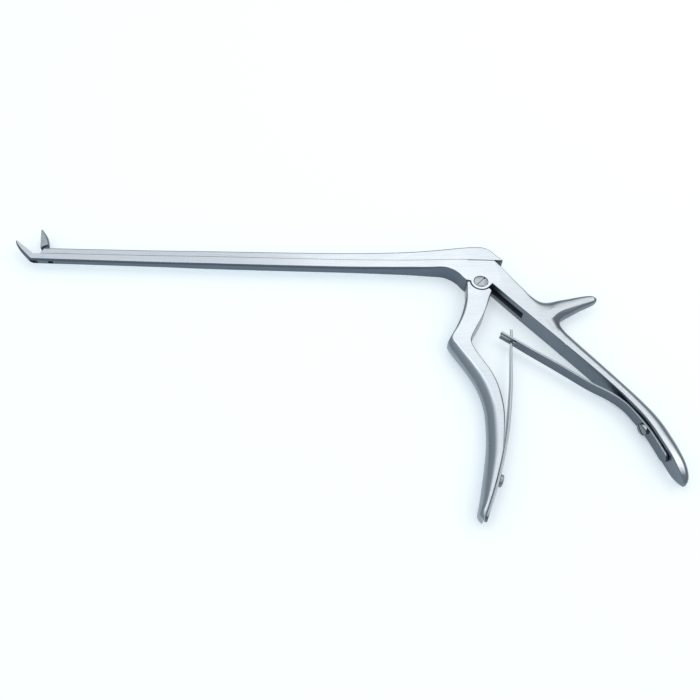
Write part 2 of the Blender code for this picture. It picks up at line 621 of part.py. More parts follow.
def strip(name, path, widths, collection):
    """A leaf of spring steel along a path, with its own width at each point."""
    rings = []
    for (x, y), (dx, dy), width in zip(path, tangents(path), widths):
        t = SPRING_T / 2
        sides = ((-t, -width / 2), (t, -width / 2), (t, width / 2), (-t, width / 2))
        rings.append([(x - dy * s, y + dx * s, MID + z) for s, z in sides])
    return loft(name, rings, collection)


# The rear leaf leaves the handle above its foot and bows forward to the fork

REAR_FOOT = [p for p in offset(HANDLE_FRONT, -(SPRING_T / 2 + SEAT_GAP))
             if REAR_FOOT_END_Y < p[1] < -62.0]
REAR_SPRING_PATH = smooth([
    (6.7, -26.2), (11.4, -29.6), (18.0, -34.6), (29.0, -42.6), (39.6, -50.7), (46.3, -54.9),
    (50.6, -58.4)] + REAR_FOOT[::4], 3)


def spring_screw_place(path, y, side):
    """Where a spring's screw stands on the leaf, and the way it points out."""
    (x, y), (dx, dy) = at_height(path, y)
    out = (-dy * side, dx * side)
    seat = SPRING_T / 2 + 0.1
    return (x + out[0] * seat, y + out[1] * seat), out


REAR_SCREW, REAR_SCREW_AXIS = spring_screw_place(REAR_SPRING_PATH, REAR_SCREW_Y, -1)
FRONT_SCREW, FRONT_SCREW_AXIS = spring_screw_place(FRONT_SPRING_PATH, FRONT_SCREW_Y, 1)


def spring_screw_hole(name, place, axis):
    radius = SPRING_SCREW_R + PIN_GAP
    profile = [(0, PAST), (radius, PAST), (radius, -SPRING_SCREW_DEEP - SEAT_GAP),
               (0, -SPRING_SCREW_DEEP - SEAT_GAP)]
    return turned(name, profile, cutters, (*place, MID), (*axis, 0), 24)


def make_spring_screw(name, place, axis):
    r, high = SPRING_SCREW_HEAD_R, SPRING_SCREW_HEAD_T
    dome = [(r * math.sin(a), high * (0.55 + 0.45 * math.cos(a)))
            for a in (math.pi / 2 * i / 5 for i in range(6))]
    profile = dome + [(r, 0), (SPRING_SCREW_R, 0), (SPRING_SCREW_R, -SPRING_SCREW_DEEP),
                      (0, -SPRING_SCREW_DEEP)]
    item = turned(name, profile, parts, (*place, MID), (*axis, 0), 24)
    angle = math.degrees(math.atan2(axis[1], axis[0]))
    low = (high * 0.5, -SPRING_SCREW_SLOT_W / 2, MID - r - PAST)
    high_corner = (high + PAST, SPRING_SCREW_SLOT_W / 2, MID + r + PAST)
    boolean(item, box(name + "_slot", low, high_corner, cutters, angle, place), "DIFFERENCE")
    finish(item, DARK_STEEL)
    return item


def make_rear_spring():
    """Leaf with a forked end that holds the front leaf's tongue."""
    count = len(REAR_SPRING_PATH)
    widths = [FORK_W + (REAR_SPRING_W - FORK_W) * min(1, 3 * i / count) for i in range(count)]
    item = strip("rear_leaf_spring", REAR_SPRING_PATH, widths, parts)
    tip, after = REAR_SPRING_PATH[0], REAR_SPRING_PATH[3]
    angle = math.degrees(math.atan2(after[1] - tip[1], after[0] - tip[0]))
    fork = box("fork_slot", (-PAST, -3, MID - FORK_SLOT_W / 2), (FORK_SLOT_L, 3, MID + FORK_SLOT_W / 2),
               cutters, angle, tip)
    boolean(item, fork, "DIFFERENCE")
    boolean(item, spring_screw_hole("rear_leaf_hole", REAR_SCREW, REAR_SCREW_AXIS), "DIFFERENCE")
    finish(item)
    return item


def make_front_spring():
    """Leaf that narrows to the tongue that stands in the rear leaf's fork."""
    widths = [min(FRONT_SPRING_W, TONGUE_TIP_W + max(0, TONGUE_END_Y - y) * TONGUE_TAPER)
              for _, y in FRONT_SPRING_PATH]
    item = strip("front_leaf_spring", FRONT_SPRING_PATH, widths, parts)
    boolean(item, spring_screw_hole("front_leaf_hole", FRONT_SCREW, FRONT_SCREW_AXIS), "DIFFERENCE")
    finish(item)
    return item


clear_scene()
parts = bpy.data.collections.new("disc_rongeur")
cutters = bpy.data.collections.new("cutters")
for group in (parts, cutters):
    bpy.context.scene.collection.children.link(group)

make_handle_body()
make_slide()
make_moving_jaw()
make_jaw_pins()
make_trigger()
make_pivot_screw()
make_rear_spring()
make_front_spring()
make_spring_screw("rear_spring_screw", REAR_SCREW, REAR_SCREW_AXIS)
make_spring_screw("front_spring_screw", FRONT_SCREW, FRONT_SCREW_AXIS)
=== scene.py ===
"""Looks of the disc rongeur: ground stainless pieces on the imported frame, floor, lamps and camera."""
import math

import bmesh
import bpy
import numpy as np
from mathutils import Matrix, Vector


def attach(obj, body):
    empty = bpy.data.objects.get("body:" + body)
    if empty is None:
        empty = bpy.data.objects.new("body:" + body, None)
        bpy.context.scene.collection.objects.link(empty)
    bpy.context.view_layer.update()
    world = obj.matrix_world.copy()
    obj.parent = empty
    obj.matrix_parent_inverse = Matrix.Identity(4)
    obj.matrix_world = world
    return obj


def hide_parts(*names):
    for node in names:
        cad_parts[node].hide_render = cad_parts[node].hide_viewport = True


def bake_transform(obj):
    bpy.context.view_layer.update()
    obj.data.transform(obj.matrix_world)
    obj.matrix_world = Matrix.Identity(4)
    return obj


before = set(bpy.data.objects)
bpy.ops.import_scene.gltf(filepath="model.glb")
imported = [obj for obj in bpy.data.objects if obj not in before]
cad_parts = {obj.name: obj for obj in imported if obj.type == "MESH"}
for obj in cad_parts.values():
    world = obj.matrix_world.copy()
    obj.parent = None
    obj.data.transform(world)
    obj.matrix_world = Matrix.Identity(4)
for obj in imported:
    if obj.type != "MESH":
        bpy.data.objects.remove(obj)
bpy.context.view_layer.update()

# Sizes in millimetres, most of them those of the CAD solids
MM = 0.001
BODY_T = 8.2
MID = BODY_T / 2
EASE = 0.3
PAST = 1.0
LAP = 0.1
SLIDE_GAP = 0.2
PIN_GAP = 0.08
FLUSH_GAP = 0.02
SEAT_GAP = 0.25

# Shaft, slide and rail
SEAM_Y = 13.0
SHAFT_FRONT_X = -206.2
SHAFT_ROOT = [-5.6, -4.8]
BELLY_ROUND = 1.2
BELLY_FADE_X = -30.0
BELLY_FADE_L = 18.0
HEAD_FRONT_X = -6.4
HEAD_FRONT_LOW_Y = 0.75
SLIDE_FRONT_X = -202.9
SLIDE_SHAPED_X = -8.0
SLIDE_TOP_ROUND = 1.5
SLIDE_ROUND_SHARE = 0.6
SLIDE_FRONT_SLANT = 1.5
SLIDE_FRONT_BEVEL = 0.6
SLIDE_BEVEL_Z = (1.3, 1.8)
SLIDE_CUT_Y = 18.0
SLIDE_SLOT_HIGH_Y = 22.0
SLIDE_SLOT_BACK = 2.25

RAIL_NECK_W = 1.1
RAIL_HEAD_W = 2.0
RAIL_HEAD_T = 0.75
RAIL_NECK_H = 1.1
RAIL_FRONT_X = -194.5
RAIL_BACK_X = -6.5
RAIL_STEP = 0.01
GROOVE_BACK_X = 14.0

# Jaws and the front of the shaft
JAW_W = 3.0
JAW_REACH = 19.6
JAW_TIP_SHARE = 0.9
JAW_PIVOT = (-200.8, 10.9)
JAW_REST_DEG = 105.2
JAW_SWING_DEG = 36.5
JAW_FACE_OFFSET = 1.42
JAW_PIN_R = 0.6
JAW_PIN_EDGE = 0.03
JAW_EYE_R = 1.2
JAW_EYE_GAP = 0.15
JAW_TONGUE_T = 1.3
JAW_TONGUE_BACK = 0.55
JAW_SLOT_REACH = 6.0
JAW_SLOT_THROUGH = 2.4
JAW_SLOT_BACK = 0.6
JAW_SLOT_CORNER = 0.5
JAW_SLOT_LOW_Y = 6.0
JAW_FRONT_GAP = 0.25
JAW_CLEAR_Y = 17.2
JAW_STEP_H = 0.6
JAW_LIP_L = 3.5
JAW_UNDER_REACH = 4.0
JAW_UNDER_LOW_Y = 9.0
DRIVE_PIN_Y = 15.1
BITE_GAP = 0.15
CUP_LENGTH = 8.6
CUP_WIDTH = 2.1
CUP_DEPTH = 0.9
CUP_RIM = 1.0
FRONT_WINDOW_BACK = 2.6
FRONT_WINDOW_L = 2.3
FRONT_WINDOW_W = 1.4

# Pivot, the trigger's tongue, and their room in the head and handle
PIVOT_SHANK_R = 2.1
PIVOT_HEAD_R = 3.1
PIVOT_HEAD_T = 1.7
PIVOT_ROUND = 0.35
PIVOT_ROUND_MID = 0.1
PIVOT_SLOT_W = 0.8
PIVOT_SLOT_DEEP = 0.7
PIVOT_SLOT_DEG = 48
BOSS_WALL = 1.4
BOSS_R = PIVOT_HEAD_R + BOSS_WALL
SHOULDER_GAP = 0.3
TONGUE_T = 3.1
TONGUE_R = BOSS_R + 0.6
TONGUE_GAP = 0.4
NOSE_Y = 15.3
NOSE_R = 1.6
ARM_ROOT_HALF_W = 1.7
ARM_ROOT_Y = 7.5
HEAD_SLOT_HALF = 4.2
HEAD_SLOT_LOW_Y = 5.0
HANDLE_POCKET_DEEP = 2.4
HANDLE_POCKET_END_Y = -17.0
SADDLE = (29.5, -16.5)
SADDLE_R = 11.0
SADDLE_ROUNDS = 14

# Leaf springs and their screws
SPRING_T = 1.0
LEAF_STATIONS = 220
LEAF_CORE = 0.6
LEAF_EDGE = 0.15
LEAF_LEAST_W = 0.8
REAR_SPRING_W = 5.0
FRONT_SPRING_W = 5.0
FORK_W = 4.2
FORK_RUN = 28.0
FORK_SLOT_W = 1.5
FORK_SLOT_L = 7.3
TONGUE_TIP_W = 1.1
TONGUE_END_Y = -33.0
TONGUE_TAPER = 0.12
SPRING_SCREW_R = 1.1
SPRING_SCREW_HEAD_R = 2.4
SPRING_SCREW_HEAD_T = 1.5
SPRING_SCREW_RIM_SHARE = 0.55
SPRING_SCREW_DOME_SHARE = 0.45
SPRING_SCREW_DEEP = 4.2
SPRING_SCREW_SLOT_W = 0.6
SPRING_SCREW_RISE = 0.1
REAR_SCREW_Y = -69.6
FRONT_SCREW_Y = -92.7
REAR_FOOT_LOW_Y = -86.3
REAR_FOOT_HIGH_Y = -62.0
TRIGGER_SEAT_Y = -82.0

# Points closer than the first are joined, and turned skins are joined at the second
SAME_POINT = 0.002
SAME_TURNED_POINT = 0.005
# Radius of the circle that a turned profile runs round, too small to see
TURNING_R = 0.001
# Length and height of the block that cuts a driver slot
SLOT_CUTTER_L = 12.0
SLOT_CUTTER_H = 4.0


# Paths

def smooth(points, steps=8):
    """Points along a Catmull-Rom curve that passes through all the given ones."""
    ends = [points[0]] + list(points) + [points[-1]]
    curve = []
    for p0, p1, p2, p3 in zip(ends, ends[1:], ends[2:], ends[3:]):
        for step in range(steps):
            t = step / steps
            curve.append(tuple(
                0.5 * (2 * b + (c - a) * t + (2 * a - 5 * b + 4 * c - d) * t ** 2
                       + (3 * b - a - 3 * c + d) * t ** 3)
                for a, b, c, d in zip(p0, p1, p2, p3)))
    return curve + [tuple(points[-1])]


def arc(centre, radius, start_deg, end_deg, steps):
    angles = [math.radians(start_deg + (end_deg - start_deg) * i / steps) for i in range(steps + 1)]
    return [(centre[0] + radius * math.cos(a), centre[1] + radius * math.sin(a)) for a in angles]


def tangents(path):
    directions = []
    for i in range(len(path)):
        a, b = path[max(i - 1, 0)], path[min(i + 1, len(path) - 1)]
        length = math.dist(a[:2], b[:2])
        directions.append(((b[0] - a[0]) / length, (b[1] - a[1]) / length))
    return directions


def offset(path, distance):
    """The path moved to its left by a distance."""
    return [(p[0] - distance * dy, p[1] + distance * dx) for p, (dx, dy) in zip(path, tangents(path))]


def inset(outline, distance):
    """A closed outline moved inwards, with its corners mitred."""
    rows = np.array(outline)
    area = np.sum(rows[:, 0] * np.roll(rows[:, 1], -1) - rows[:, 1] * np.roll(rows[:, 0], -1))
    side = 1 if area > 0 else -1
    moved = []
    for before, here, after in zip(np.roll(rows, 1, 0), rows, np.roll(rows, -1, 0)):
        a, b = here - before, after - here
        na = side * np.array((-a[1], a[0])) / np.hypot(*a)
        nb = side * np.array((-b[1], b[0])) / np.hypot(*b)
        mitre = na + nb
        moved.append(tuple(here + mitre * distance / max(0.5, 0.5 * float(mitre @ mitre))))
    return moved


def at_height(path, y):
    """Point and direction where a falling path passes a height."""
    index = next(i for i, point in enumerate(path) if point[1] <= y)
    (x0, y0), (x1, y1) = path[index - 1], path[index]
    share = (y0 - y) / (y0 - y1)
    return (x0 + (x1 - x0) * share, y), tangents([path[index - 1], path[index]])[0]


def turn(point, centre, degrees):
    c, s = math.cos(math.radians(degrees)), math.sin(math.radians(degrees))
    dx, dy = point[0] - centre[0], point[1] - centre[1]
    return centre[0] + c * dx - s * dy, centre[1] + s * dx + c * dy


def resample(path, count):
    rows = np.array(path)
    run = np.concatenate([[0], np.cumsum(np.hypot(*np.diff(rows[:, :2], axis=0).T))])
    wanted = np.linspace(0, run[-1], count)
    return [tuple(float(np.interp(w, run, column)) for column in rows.T) for w in wanted]


# Solids

def new_object(name, data):
    item = bpy.data.objects.new(name, data)
    bpy.context.scene.collection.objects.link(item)
    return item


def add_solid(name, bm, material):
    mesh = bpy.data.meshes.new(name)
    bmesh.ops.recalc_face_normals(bm, faces=bm.faces)
    bm.to_mesh(mesh)
    bm.free()
    mesh.materials.append(material)
    return new_object(name, mesh)


def loft(name, rings, material):
    """Skin closed rings of (x, y, z) points with the same count, and cap both ends."""
    bm = bmesh.new()
    loops = [[bm.verts.new(Vector(point) * MM) for point in ring] for ring in rings]
    for near, far in zip(loops, loops[1:]):
        for i in range(len(near)):
            j = (i + 1) % len(near)
            bm.faces.new((near[i], near[j], far[j], far[i]))
    bm.faces.new(loops[0])
    bm.faces.new(loops[-1])
    return add_solid(name, bm, material)


def plate(name, outline, thickness, material, ease=0.0):
    """A flat outline about the middle plane, its rims eased over by a small radius."""
    half = thickness / 2
    levels = [(a, ease * (1 - math.cos(a)), half - ease + ease * math.sin(a))
              for a in (math.radians(d) for d in (0, 30, 60, 90))] if ease else [(0, 0, half)]
    rings = [[(x, y, MID - z) for x, y in inset(outline, back)] for _, back, z in reversed(levels)]
    rings += [[(x, y, MID + z) for x, y in inset(outline, back)] for _, back, z in levels]
    return loft(name, rings, material)


# The most that a rounding takes of the bar's width at its near and far edges and at both together, and of
# half its thickness, then the part of a band's width that its rounding takes, and a nearly sharp edge
NEAR_SHARE = 0.62
FAR_SHARE = 0.85
BOTH_SHARE = 0.98
DEEP_SHARE = 0.97
BAND_SHARE = 0.84
SHARP = 0.05
NEAR_STEPS = 8
FAR_STEPS = 14


def quarter(steps):
    """Angles of a quarter turn, in radians."""
    return [math.pi / 2 * i / steps for i in range(steps + 1)]


def crowned(name, pairs, material, bend):
    """A bar through pairs of edge points, rounded over by the reaches that the points carry."""
    rings = []
    for near, far in pairs:
        length = math.dist(near[:2], far[:2])
        half = far[4] / 2
        corners = []
        for across, deep, share in ((*near[2:4], NEAR_SHARE), (*far[2:4], FAR_SHARE)):
            corners.append((min(across, share * length), min(deep, DEEP_SHARE * half)))
        (na, nd), (fa, fd) = corners
        if na + fa > BOTH_SHARE * length:
            na, fa = (reach * BOTH_SHARE * length / (na + fa) for reach in (na, fa))
        upper = [(na - na * math.cos(a) ** bend, half - nd + nd * math.sin(a) ** bend)
                 for a in quarter(NEAR_STEPS)]
        upper += [(length - fa + fa * math.sin(a) ** bend, half - fd + fd * math.cos(a) ** bend)
                  for a in quarter(FAR_STEPS)]
        section = upper + [(s, -z) for s, z in reversed(upper)]
        (nx, ny), (fx, fy) = near[:2], far[:2]
        rings.append([
            (nx + (fx - nx) * s / length, ny + (fy - ny) * s / length, MID + z) for s, z in section])
    return loft(name, rings, material)


def bar(name, near_edge, far_edge, count, material, bend):
    """A bar between two edges, rounded over at both.

    Each edge's points carry how far its rounding reaches across the side face and down the rim, and
    the far edge's also carry the thickness. A bend of 1 rounds as an ellipse, and a higher one turns
    faster off the side face and runs straighter down to the rim."""
    return crowned(name, zip(resample(near_edge, count), resample(far_edge, count)), material, bend)


def band(name, edge, count, material):
    """The rounded margin inside an edge that has the body on its left, as wide as its rounding reaches."""
    edge = resample(edge, count)
    pairs = []
    for (x, y, across, deep, thick), (dx, dy) in zip(edge, tangents(edge)):
        width = across / BAND_SHARE
        pairs.append(((x - width * dy, y + width * dx, SHARP, SHARP), (x, y, across, deep, thick)))
    return crowned(name, pairs, material, 1.0)


def box(name, low, high, material, angle_deg=0.0, about=(0.0, 0.0)):
    outline = [(low[0], low[1]), (high[0], low[1]), (high[0], high[1]), (low[0], high[1])]
    outline = [turn((x + about[0], y + about[1]), about, angle_deg) for x, y in outline]
    return loft(name, [[(x, y, z) for x, y in outline] for z in (low[2], high[2])], material)


def rod(name, radius, low_z, high_z, place, material, steps=48):
    ring = arc(place, radius, 0, 360, steps)[:-1]
    return loft(name, [[(x, y, z) for x, y in ring] for z in (low_z, high_z)], material)


def combine(item, operation, *others):
    for other in others:
        modifier = item.modifiers.new(other.name, "BOOLEAN")
        modifier.object = other
        modifier.operation = operation
        modifier.solver = "MANIFOLD"
        modifier.material_mode = "TRANSFER"
    settle(item)
    for other in others:
        bpy.data.objects.remove(other)


def settle(item):
    """Turn what the modifiers show into the plain mesh."""
    bpy.context.view_layer.update()
    evaluated = item.evaluated_get(bpy.context.evaluated_depsgraph_get())
    mesh = bpy.data.meshes.new_from_object(evaluated)
    item.modifiers.clear()
    item.data = mesh


def soften(item, about, radius, rounds, drift=0.7, facing=0.55, shortest=0.05):
    """Let the heights of both broad sides around a point drift towards their neighbours' heights.

    It moves the points whose normal faces the side, and takes no edge as shorter than the shortest."""
    bm = bmesh.new()
    bm.from_mesh(item.data)
    bm.normal_update()
    near = [(v, min(1.0, 2 - 2 * math.dist(v.co.xy / MM, about) / radius)) for v in bm.verts
            if abs(v.normal.z) > facing and math.dist(v.co.xy / MM, about) < radius]
    for _ in range(rounds):
        rises = []
        for vert, share in near:
            weights = [1 / max(edge.calc_length(), shortest * MM) ** 2 for edge in vert.link_edges]
            pull = sum(weight * (edge.other_vert(vert).co.z - vert.co.z)
                       for weight, edge in zip(weights, vert.link_edges))
            rises.append(drift * share * pull / sum(weights))
        for (vert, _), rise in zip(near, rises):
            vert.co.z += rise
    bm.to_mesh(item.data)
    bm.free()


def shade(item, sharp_deg=32):
    """Smooth shading across the roundings, flat faces kept flat by area-weighted normals."""
    bm = bmesh.new()
    bm.from_mesh(item.data)
    bmesh.ops.remove_doubles(bm, verts=bm.verts, dist=SAME_POINT * MM)
    bmesh.ops.dissolve_degenerate(bm, edges=bm.edges, dist=SAME_POINT * MM)
    bmesh.ops.recalc_face_normals(bm, faces=bm.faces)
    bm.to_mesh(item.data)
    bm.free()
    item.data.shade_smooth()
    item.data.set_sharp_from_angle(angle=math.radians(sharp_deg))
    weighted = item.modifiers.new("flat_faces_first", "WEIGHTED_NORMAL")
    weighted.keep_sharp = True
    weighted.mode = "FACE_AREA"
    settle(item)


# Materials

def linear(colour):
    """An sRGB hex colour as the linear values that the sockets take."""
    channels = [int(colour[i:i + 2], 16) / 255 for i in (1, 3, 5)]
    return tuple(c / 12.92 if c <= 0.04045 else ((c + 0.055) / 1.055) ** 2.4 for c in channels) + (1.0,)


def add_node(tree, kind, inputs=None, **settings):
    """Add a node, set its properties and fill its inputs with values or with other nodes' outputs."""
    node = tree.nodes.new(kind)
    for name, value in settings.items():
        setattr(node, name, value)
    for name, value in (inputs or {}).items():
        if isinstance(value, bpy.types.NodeSocket):
            tree.links.new(value, node.inputs[name])
        else:
            node.inputs[name].default_value = value
    return node


# A noise's values lie mostly between these two
NOISE_LOW = 0.3
NOISE_HIGH = 0.7
# Size of the patches in which the roughness changes, its share of change, and the grain's depth
CLOUD_MM = 14
ROUGH_SPREAD = 0.15
RELIEF_MM = 0.02


def ground_steel(name, flat, rim_shade, roughness, grain_deg, grain_mm=0.25, grain_run_mm=9.0, bump=0.05,
                 shade_tilts=(40, 13), streaks=(0.9, 1.05)):
    """Stainless steel ground along one direction, its rims given a darker colour than its flats: painted
    shade on the faces that turn away from straight up or down.

    The rim's colour is full from the first tilt on, in degrees, and the flat's up to the second.
    The grain is drawn coarser than the real one, so that it shows."""
    material = bpy.data.materials.new(name)
    material.use_nodes = True
    tree = material.node_tree
    shader = tree.nodes["Principled BSDF"]
    place = add_node(tree, "ShaderNodeTexCoord").outputs["Object"]
    along = add_node(tree, "ShaderNodeMapping", {
        "Vector": place, "Rotation": (0, 0, math.radians(-grain_deg)),
        "Scale": (1 / (grain_run_mm * MM), 1 / (grain_mm * MM), 1 / (grain_mm * MM))})
    grain = add_node(tree, "ShaderNodeTexNoise", {
        "Vector": along.outputs["Vector"], "Scale": 1.0, "Detail": 3.0, "Roughness": 0.6})
    cloud = add_node(tree, "ShaderNodeTexNoise", {
        "Vector": place, "Scale": 1 / (CLOUD_MM * MM), "Detail": 2.0, "Roughness": 0.5})
    normal = add_node(tree, "ShaderNodeNewGeometry").outputs["Normal"]
    height = add_node(tree, "ShaderNodeSeparateXYZ", {"Vector": normal}).outputs["Z"]
    facing = add_node(tree, "ShaderNodeMath", {0: height}, operation="ABSOLUTE")
    # Painted shade: the darker rim colour takes over as the face turns away from straight up or down
    unshaded_share = add_node(tree, "ShaderNodeMapRange", {
        "Value": facing.outputs["Value"],
        "From Min": math.cos(math.radians(shade_tilts[0])), "From Max": math.cos(math.radians(shade_tilts[1])),
        "To Min": 0.0, "To Max": 1.0}, interpolation_type="SMOOTHSTEP")
    colour = add_node(tree, "ShaderNodeMix", {
        "Factor": unshaded_share.outputs["Result"], 6: linear(rim_shade), 7: linear(flat)}, data_type="RGBA")
    streak = add_node(tree, "ShaderNodeMapRange", {
        "Value": grain.outputs["Fac"], "From Min": NOISE_LOW, "From Max": NOISE_HIGH,
        "To Min": streaks[0], "To Max": streaks[1]})
    toned = add_node(tree, "ShaderNodeVectorMath", {
        0: colour.outputs[2], "Scale": streak.outputs["Result"]}, operation="SCALE")
    rough = add_node(tree, "ShaderNodeMapRange", {
        "Value": cloud.outputs["Fac"], "From Min": NOISE_LOW, "From Max": NOISE_HIGH,
        "To Min": roughness * (1 - ROUGH_SPREAD), "To Max": roughness * (1 + ROUGH_SPREAD)})
    relief = add_node(tree, "ShaderNodeBump", {
        "Height": grain.outputs["Fac"], "Strength": bump, "Distance": RELIEF_MM * MM})
    tree.links.new(toned.outputs["Vector"], shader.inputs["Base Color"])
    tree.links.new(rough.outputs["Result"], shader.inputs["Roughness"])
    tree.links.new(relief.outputs["Normal"], shader.inputs["Normal"])
    shader.inputs["Metallic"].default_value = 1.0
    return material


# Satin-ground martensitic stainless steel: bright flats with a fine lengthwise grain, and greyer rims whose
# grey is painted shade on faces turned away from the top
HANDLE_STEEL = ground_steel("satin_ground_stainless_handle", "#eef4f8", "#78818a", 0.34, 127, shade_tilts=(22, 4))
SHAFT_STEEL = ground_steel("satin_ground_stainless_shaft", "#eef4f8", "#656f7a", 0.27, 0, shade_tilts=(20, 7))
TRIGGER_STEEL = ground_steel("satin_ground_stainless_trigger", "#eef4f8", "#959ea6", 0.32, 90, shade_tilts=(31, 13))
# The same steel on the small jaw, ground along it in shorter strokes, which leaves it streaky, with painted
# shade on its rims
JAW_STEEL = ground_steel("fine_ground_stainless_jaw", "#c3cbd0", "#808990", 0.3, 105, grain_run_mm=4.0,
                         shade_tilts=(45, 10), streaks=(0.7, 1.15))
# Rolled and polished spring steel: bright sheared edges, and slate-coloured broad faces whose slate is
# painted shade, as they stand on edge
SPRING_STEEL = ground_steel("polished_spring_steel", "#c3cbd1", "#666f78", 0.22, 130, bump=0.03)
# Milled slots and pockets, left rough from the cutter; their dark colour is painted shade for recesses and
# for the parts that sit inside them
SHADED_SLOT_STEEL = ground_steel("milled_slot_steel_painted_shade", "#7d848b", "#6b727a", 0.5, 0, grain_mm=0.4, bump=0.15)
# Turned and polished stainless steel: smoother and a little yellower than the ground pieces, with painted
# shade on faces turned from the top
SCREW_STEEL = ground_steel("turned_screw_stainless", "#bcc4c6", "#7b8488", 0.18, 0, bump=0.02)


# Outlines and paths, read off the photograph

SHAFT_PLAN = smooth([
    (SHAFT_FRONT_X - 20, 3.4), (SHAFT_FRONT_X, 3.4), (-150, 3.5), (-122, 4.1), (-66, 4.1),
    (-45, 4.8), (-30, 5.7), (-20, 6.9), (-14, 7.75), (-9.5, 8.12), (-6, 8.2), (6, 8.2), (12, 8.2)])
SLIDE_TOP = smooth([
    (SLIDE_FRONT_X, 17.0), (-150, 17.1), (-100, 17.3), (-60, 17.9), (-36, 18.6), (-17, 19.9),
    (-7, 21.1), (-2.5, 21.7), (1.5, 21.7), (4.4, 20.8), (7.0, 18.5), (10.3, 14.3), (11.0, 13.4)])
BELLY = smooth([
    (-6.4, 0.7), (-7.8, 2.4), (-9.6, 4.8), (-12.4, 7.0), (-17.0, 8.3), (-30.0, 8.0), (-95.0, 8.0),
    (SHAFT_FRONT_X, 9.0)])
# Handle, spur and grip edges: x, y, the rounding's reach across and down, and the thickness
HANDLE_BACK = smooth([
    (7.0, 12.9, 0.2, 0.1, 8.2), (9.9, 9.3, 0.7, 0.5, 8.2), (13.7, 3.6, 1.2, 0.8, 8.2),
    (18.5, -2.9, 2.4, 1.5, 8.2), (23.4, -9.0, 6.6, 2.8, 8.2), (28.4, -17.0, 7.0, 3.2, 8.2),
    (34.0, -25.2, 6.2, 3.5, 8.2), (45.6, -40.3, 6.0, 3.7, 8.2), (58.1, -57.0, 6.4, 3.8, 8.2),
    (63.8, -66.3, 6.0, 3.8, 8.2), (66.9, -74.8, 4.8, 3.7, 8.2), (68.3, -81.0, 3.8, 3.4, 8.2),
    (68.9, -85.5, 3.0, 3.0, 7.6), (68.8, -89.0, 2.4, 2.4, 6.2), (68.2, -91.3, 1.8, 1.8, 4.6),
    (67.1, -92.8, 1.0, 1.0, 2.6)])
HANDLE_FRONT = smooth([
    (5.0, -1.0), (15.6, -13.9), (30.1, -31.0), (43.5, -47.2), (52.8, -59.6), (58.3, -69.0),
    (62.6, -81.0), (64.4, -87.6), (66.1, -92.4)])
SPUR_TOP = smooth([
    (15.6, 0.8, 1.5, 1.0, 8.2), (18.5, -3.0, 2.4, 1.5, 8.2), (21.0, -6.2, 4.4, 2.0, 8.2),
    (23.4, -8.2, 6.4, 2.4, 8.2), (26.0, -9.1, 8.4, 3.0, 8.0), (29.0, -9.0, 9.0, 3.3, 7.8),
    (32.8, -7.8, 8.0, 3.2, 7.1), (38.0, -6.4, 6.2, 2.8, 6.0),
    (43.5, -4.9, 4.6, 2.0, 4.6), (48.0, -4.0, 3.4, 1.6, 3.7), (50.1, -4.5, 2.0, 1.3, 3.2),
    (51.1, -5.9, 0.5, 0.8, 1.8)])
SPUR_RIDGE = smooth([(x, y, 0.2, 0.2) for x, y in (
    (14.6, -10.6), (19.6, -16.6), (24.6, -20.6), (28.4, -19.8), (31.0, -17.2), (33.9, -14.9),
    (37.7, -13.0), (42.9, -10.3), (47.6, -8.3), (49.8, -7.1), (50.7, -6.3))])
CROOK = smooth([
    (37.0, -31.0, 4.6, 3.6, 8.2), (35.3, -27.8, 4.8, 3.5, 8.2), (33.9, -24.9, 5.0, 3.5, 8.2),
    (32.8, -22.6, 6.0, 3.4, 8.2), (32.4, -20.4, 6.0, 3.3, 8.1), (33.2, -18.4, 4.8, 3.1, 7.8),
    (35.2, -16.6, 3.4, 2.7, 7.0), (38.6, -14.4, 2.5, 2.1, 5.8), (43.5, -11.3, 1.8, 1.5, 4.7),
    (48.0, -8.9, 1.2, 1.1, 3.8), (50.1, -7.5, 0.8, 0.8, 3.2), (50.9, -6.6, 0.4, 0.5, 1.8)])
TRIGGER_FRONT = smooth([
    (-6.4, -5.2, 0.3, 0.2, 8.2), (-7.7, -11.5, 1.2, 1.0, 8.2), (-9.7, -18.4, 1.4, 1.2, 8.2),
    (-12.4, -25.0, 1.2, 1.1, 8.2), (-15.0, -30.2, 1.0, 0.9, 8.2), (-16.3, -32.6, 3.0, 2.8, 8.2),
    (-15.5, -35.4, 4.4, 3.6, 8.2), (-13.2, -39.3, 4.6, 3.6, 8.2), (-9.7, -45.5, 5.0, 3.9, 8.2),
    (-6.4, -52.2, 5.2, 3.9, 8.2), (-4.4, -59.0, 5.2, 3.9, 8.2), (-3.5, -66.5, 5.2, 3.9, 8.2),
    (-4.1, -78.6, 5.2, 3.9, 8.2), (-5.8, -89.0, 4.8, 3.9, 8.2), (-8.2, -100.6, 3.6, 3.4, 8.2),
    (-9.4, -105.2, 2.6, 2.8, 7.8), (-9.4, -107.2, 1.8, 2.0, 6.8), (-8.3, -108.6, 1.0, 1.2, 5.4)])
TRIGGER_TOP_CORNER = (-6.1, -0.2)
FRONT_SPRING_PATH = smooth([
    (11.6, -23.6), (11.1, -29.0), (10.2, -34.8), (8.5, -49.7), (7.1, -59.1), (5.5, -68.1),
    (4.2, -74.5), (2.4, -81.5), (0.3, -88.7), (-2.3, -96.6), (-5.3, -104.4), (-6.9, -108.6)])
TRIGGER_SEAT = [p for p in offset(FRONT_SPRING_PATH, -(SPRING_T / 2 + SEAT_GAP)) if p[1] < TRIGGER_SEAT_Y]
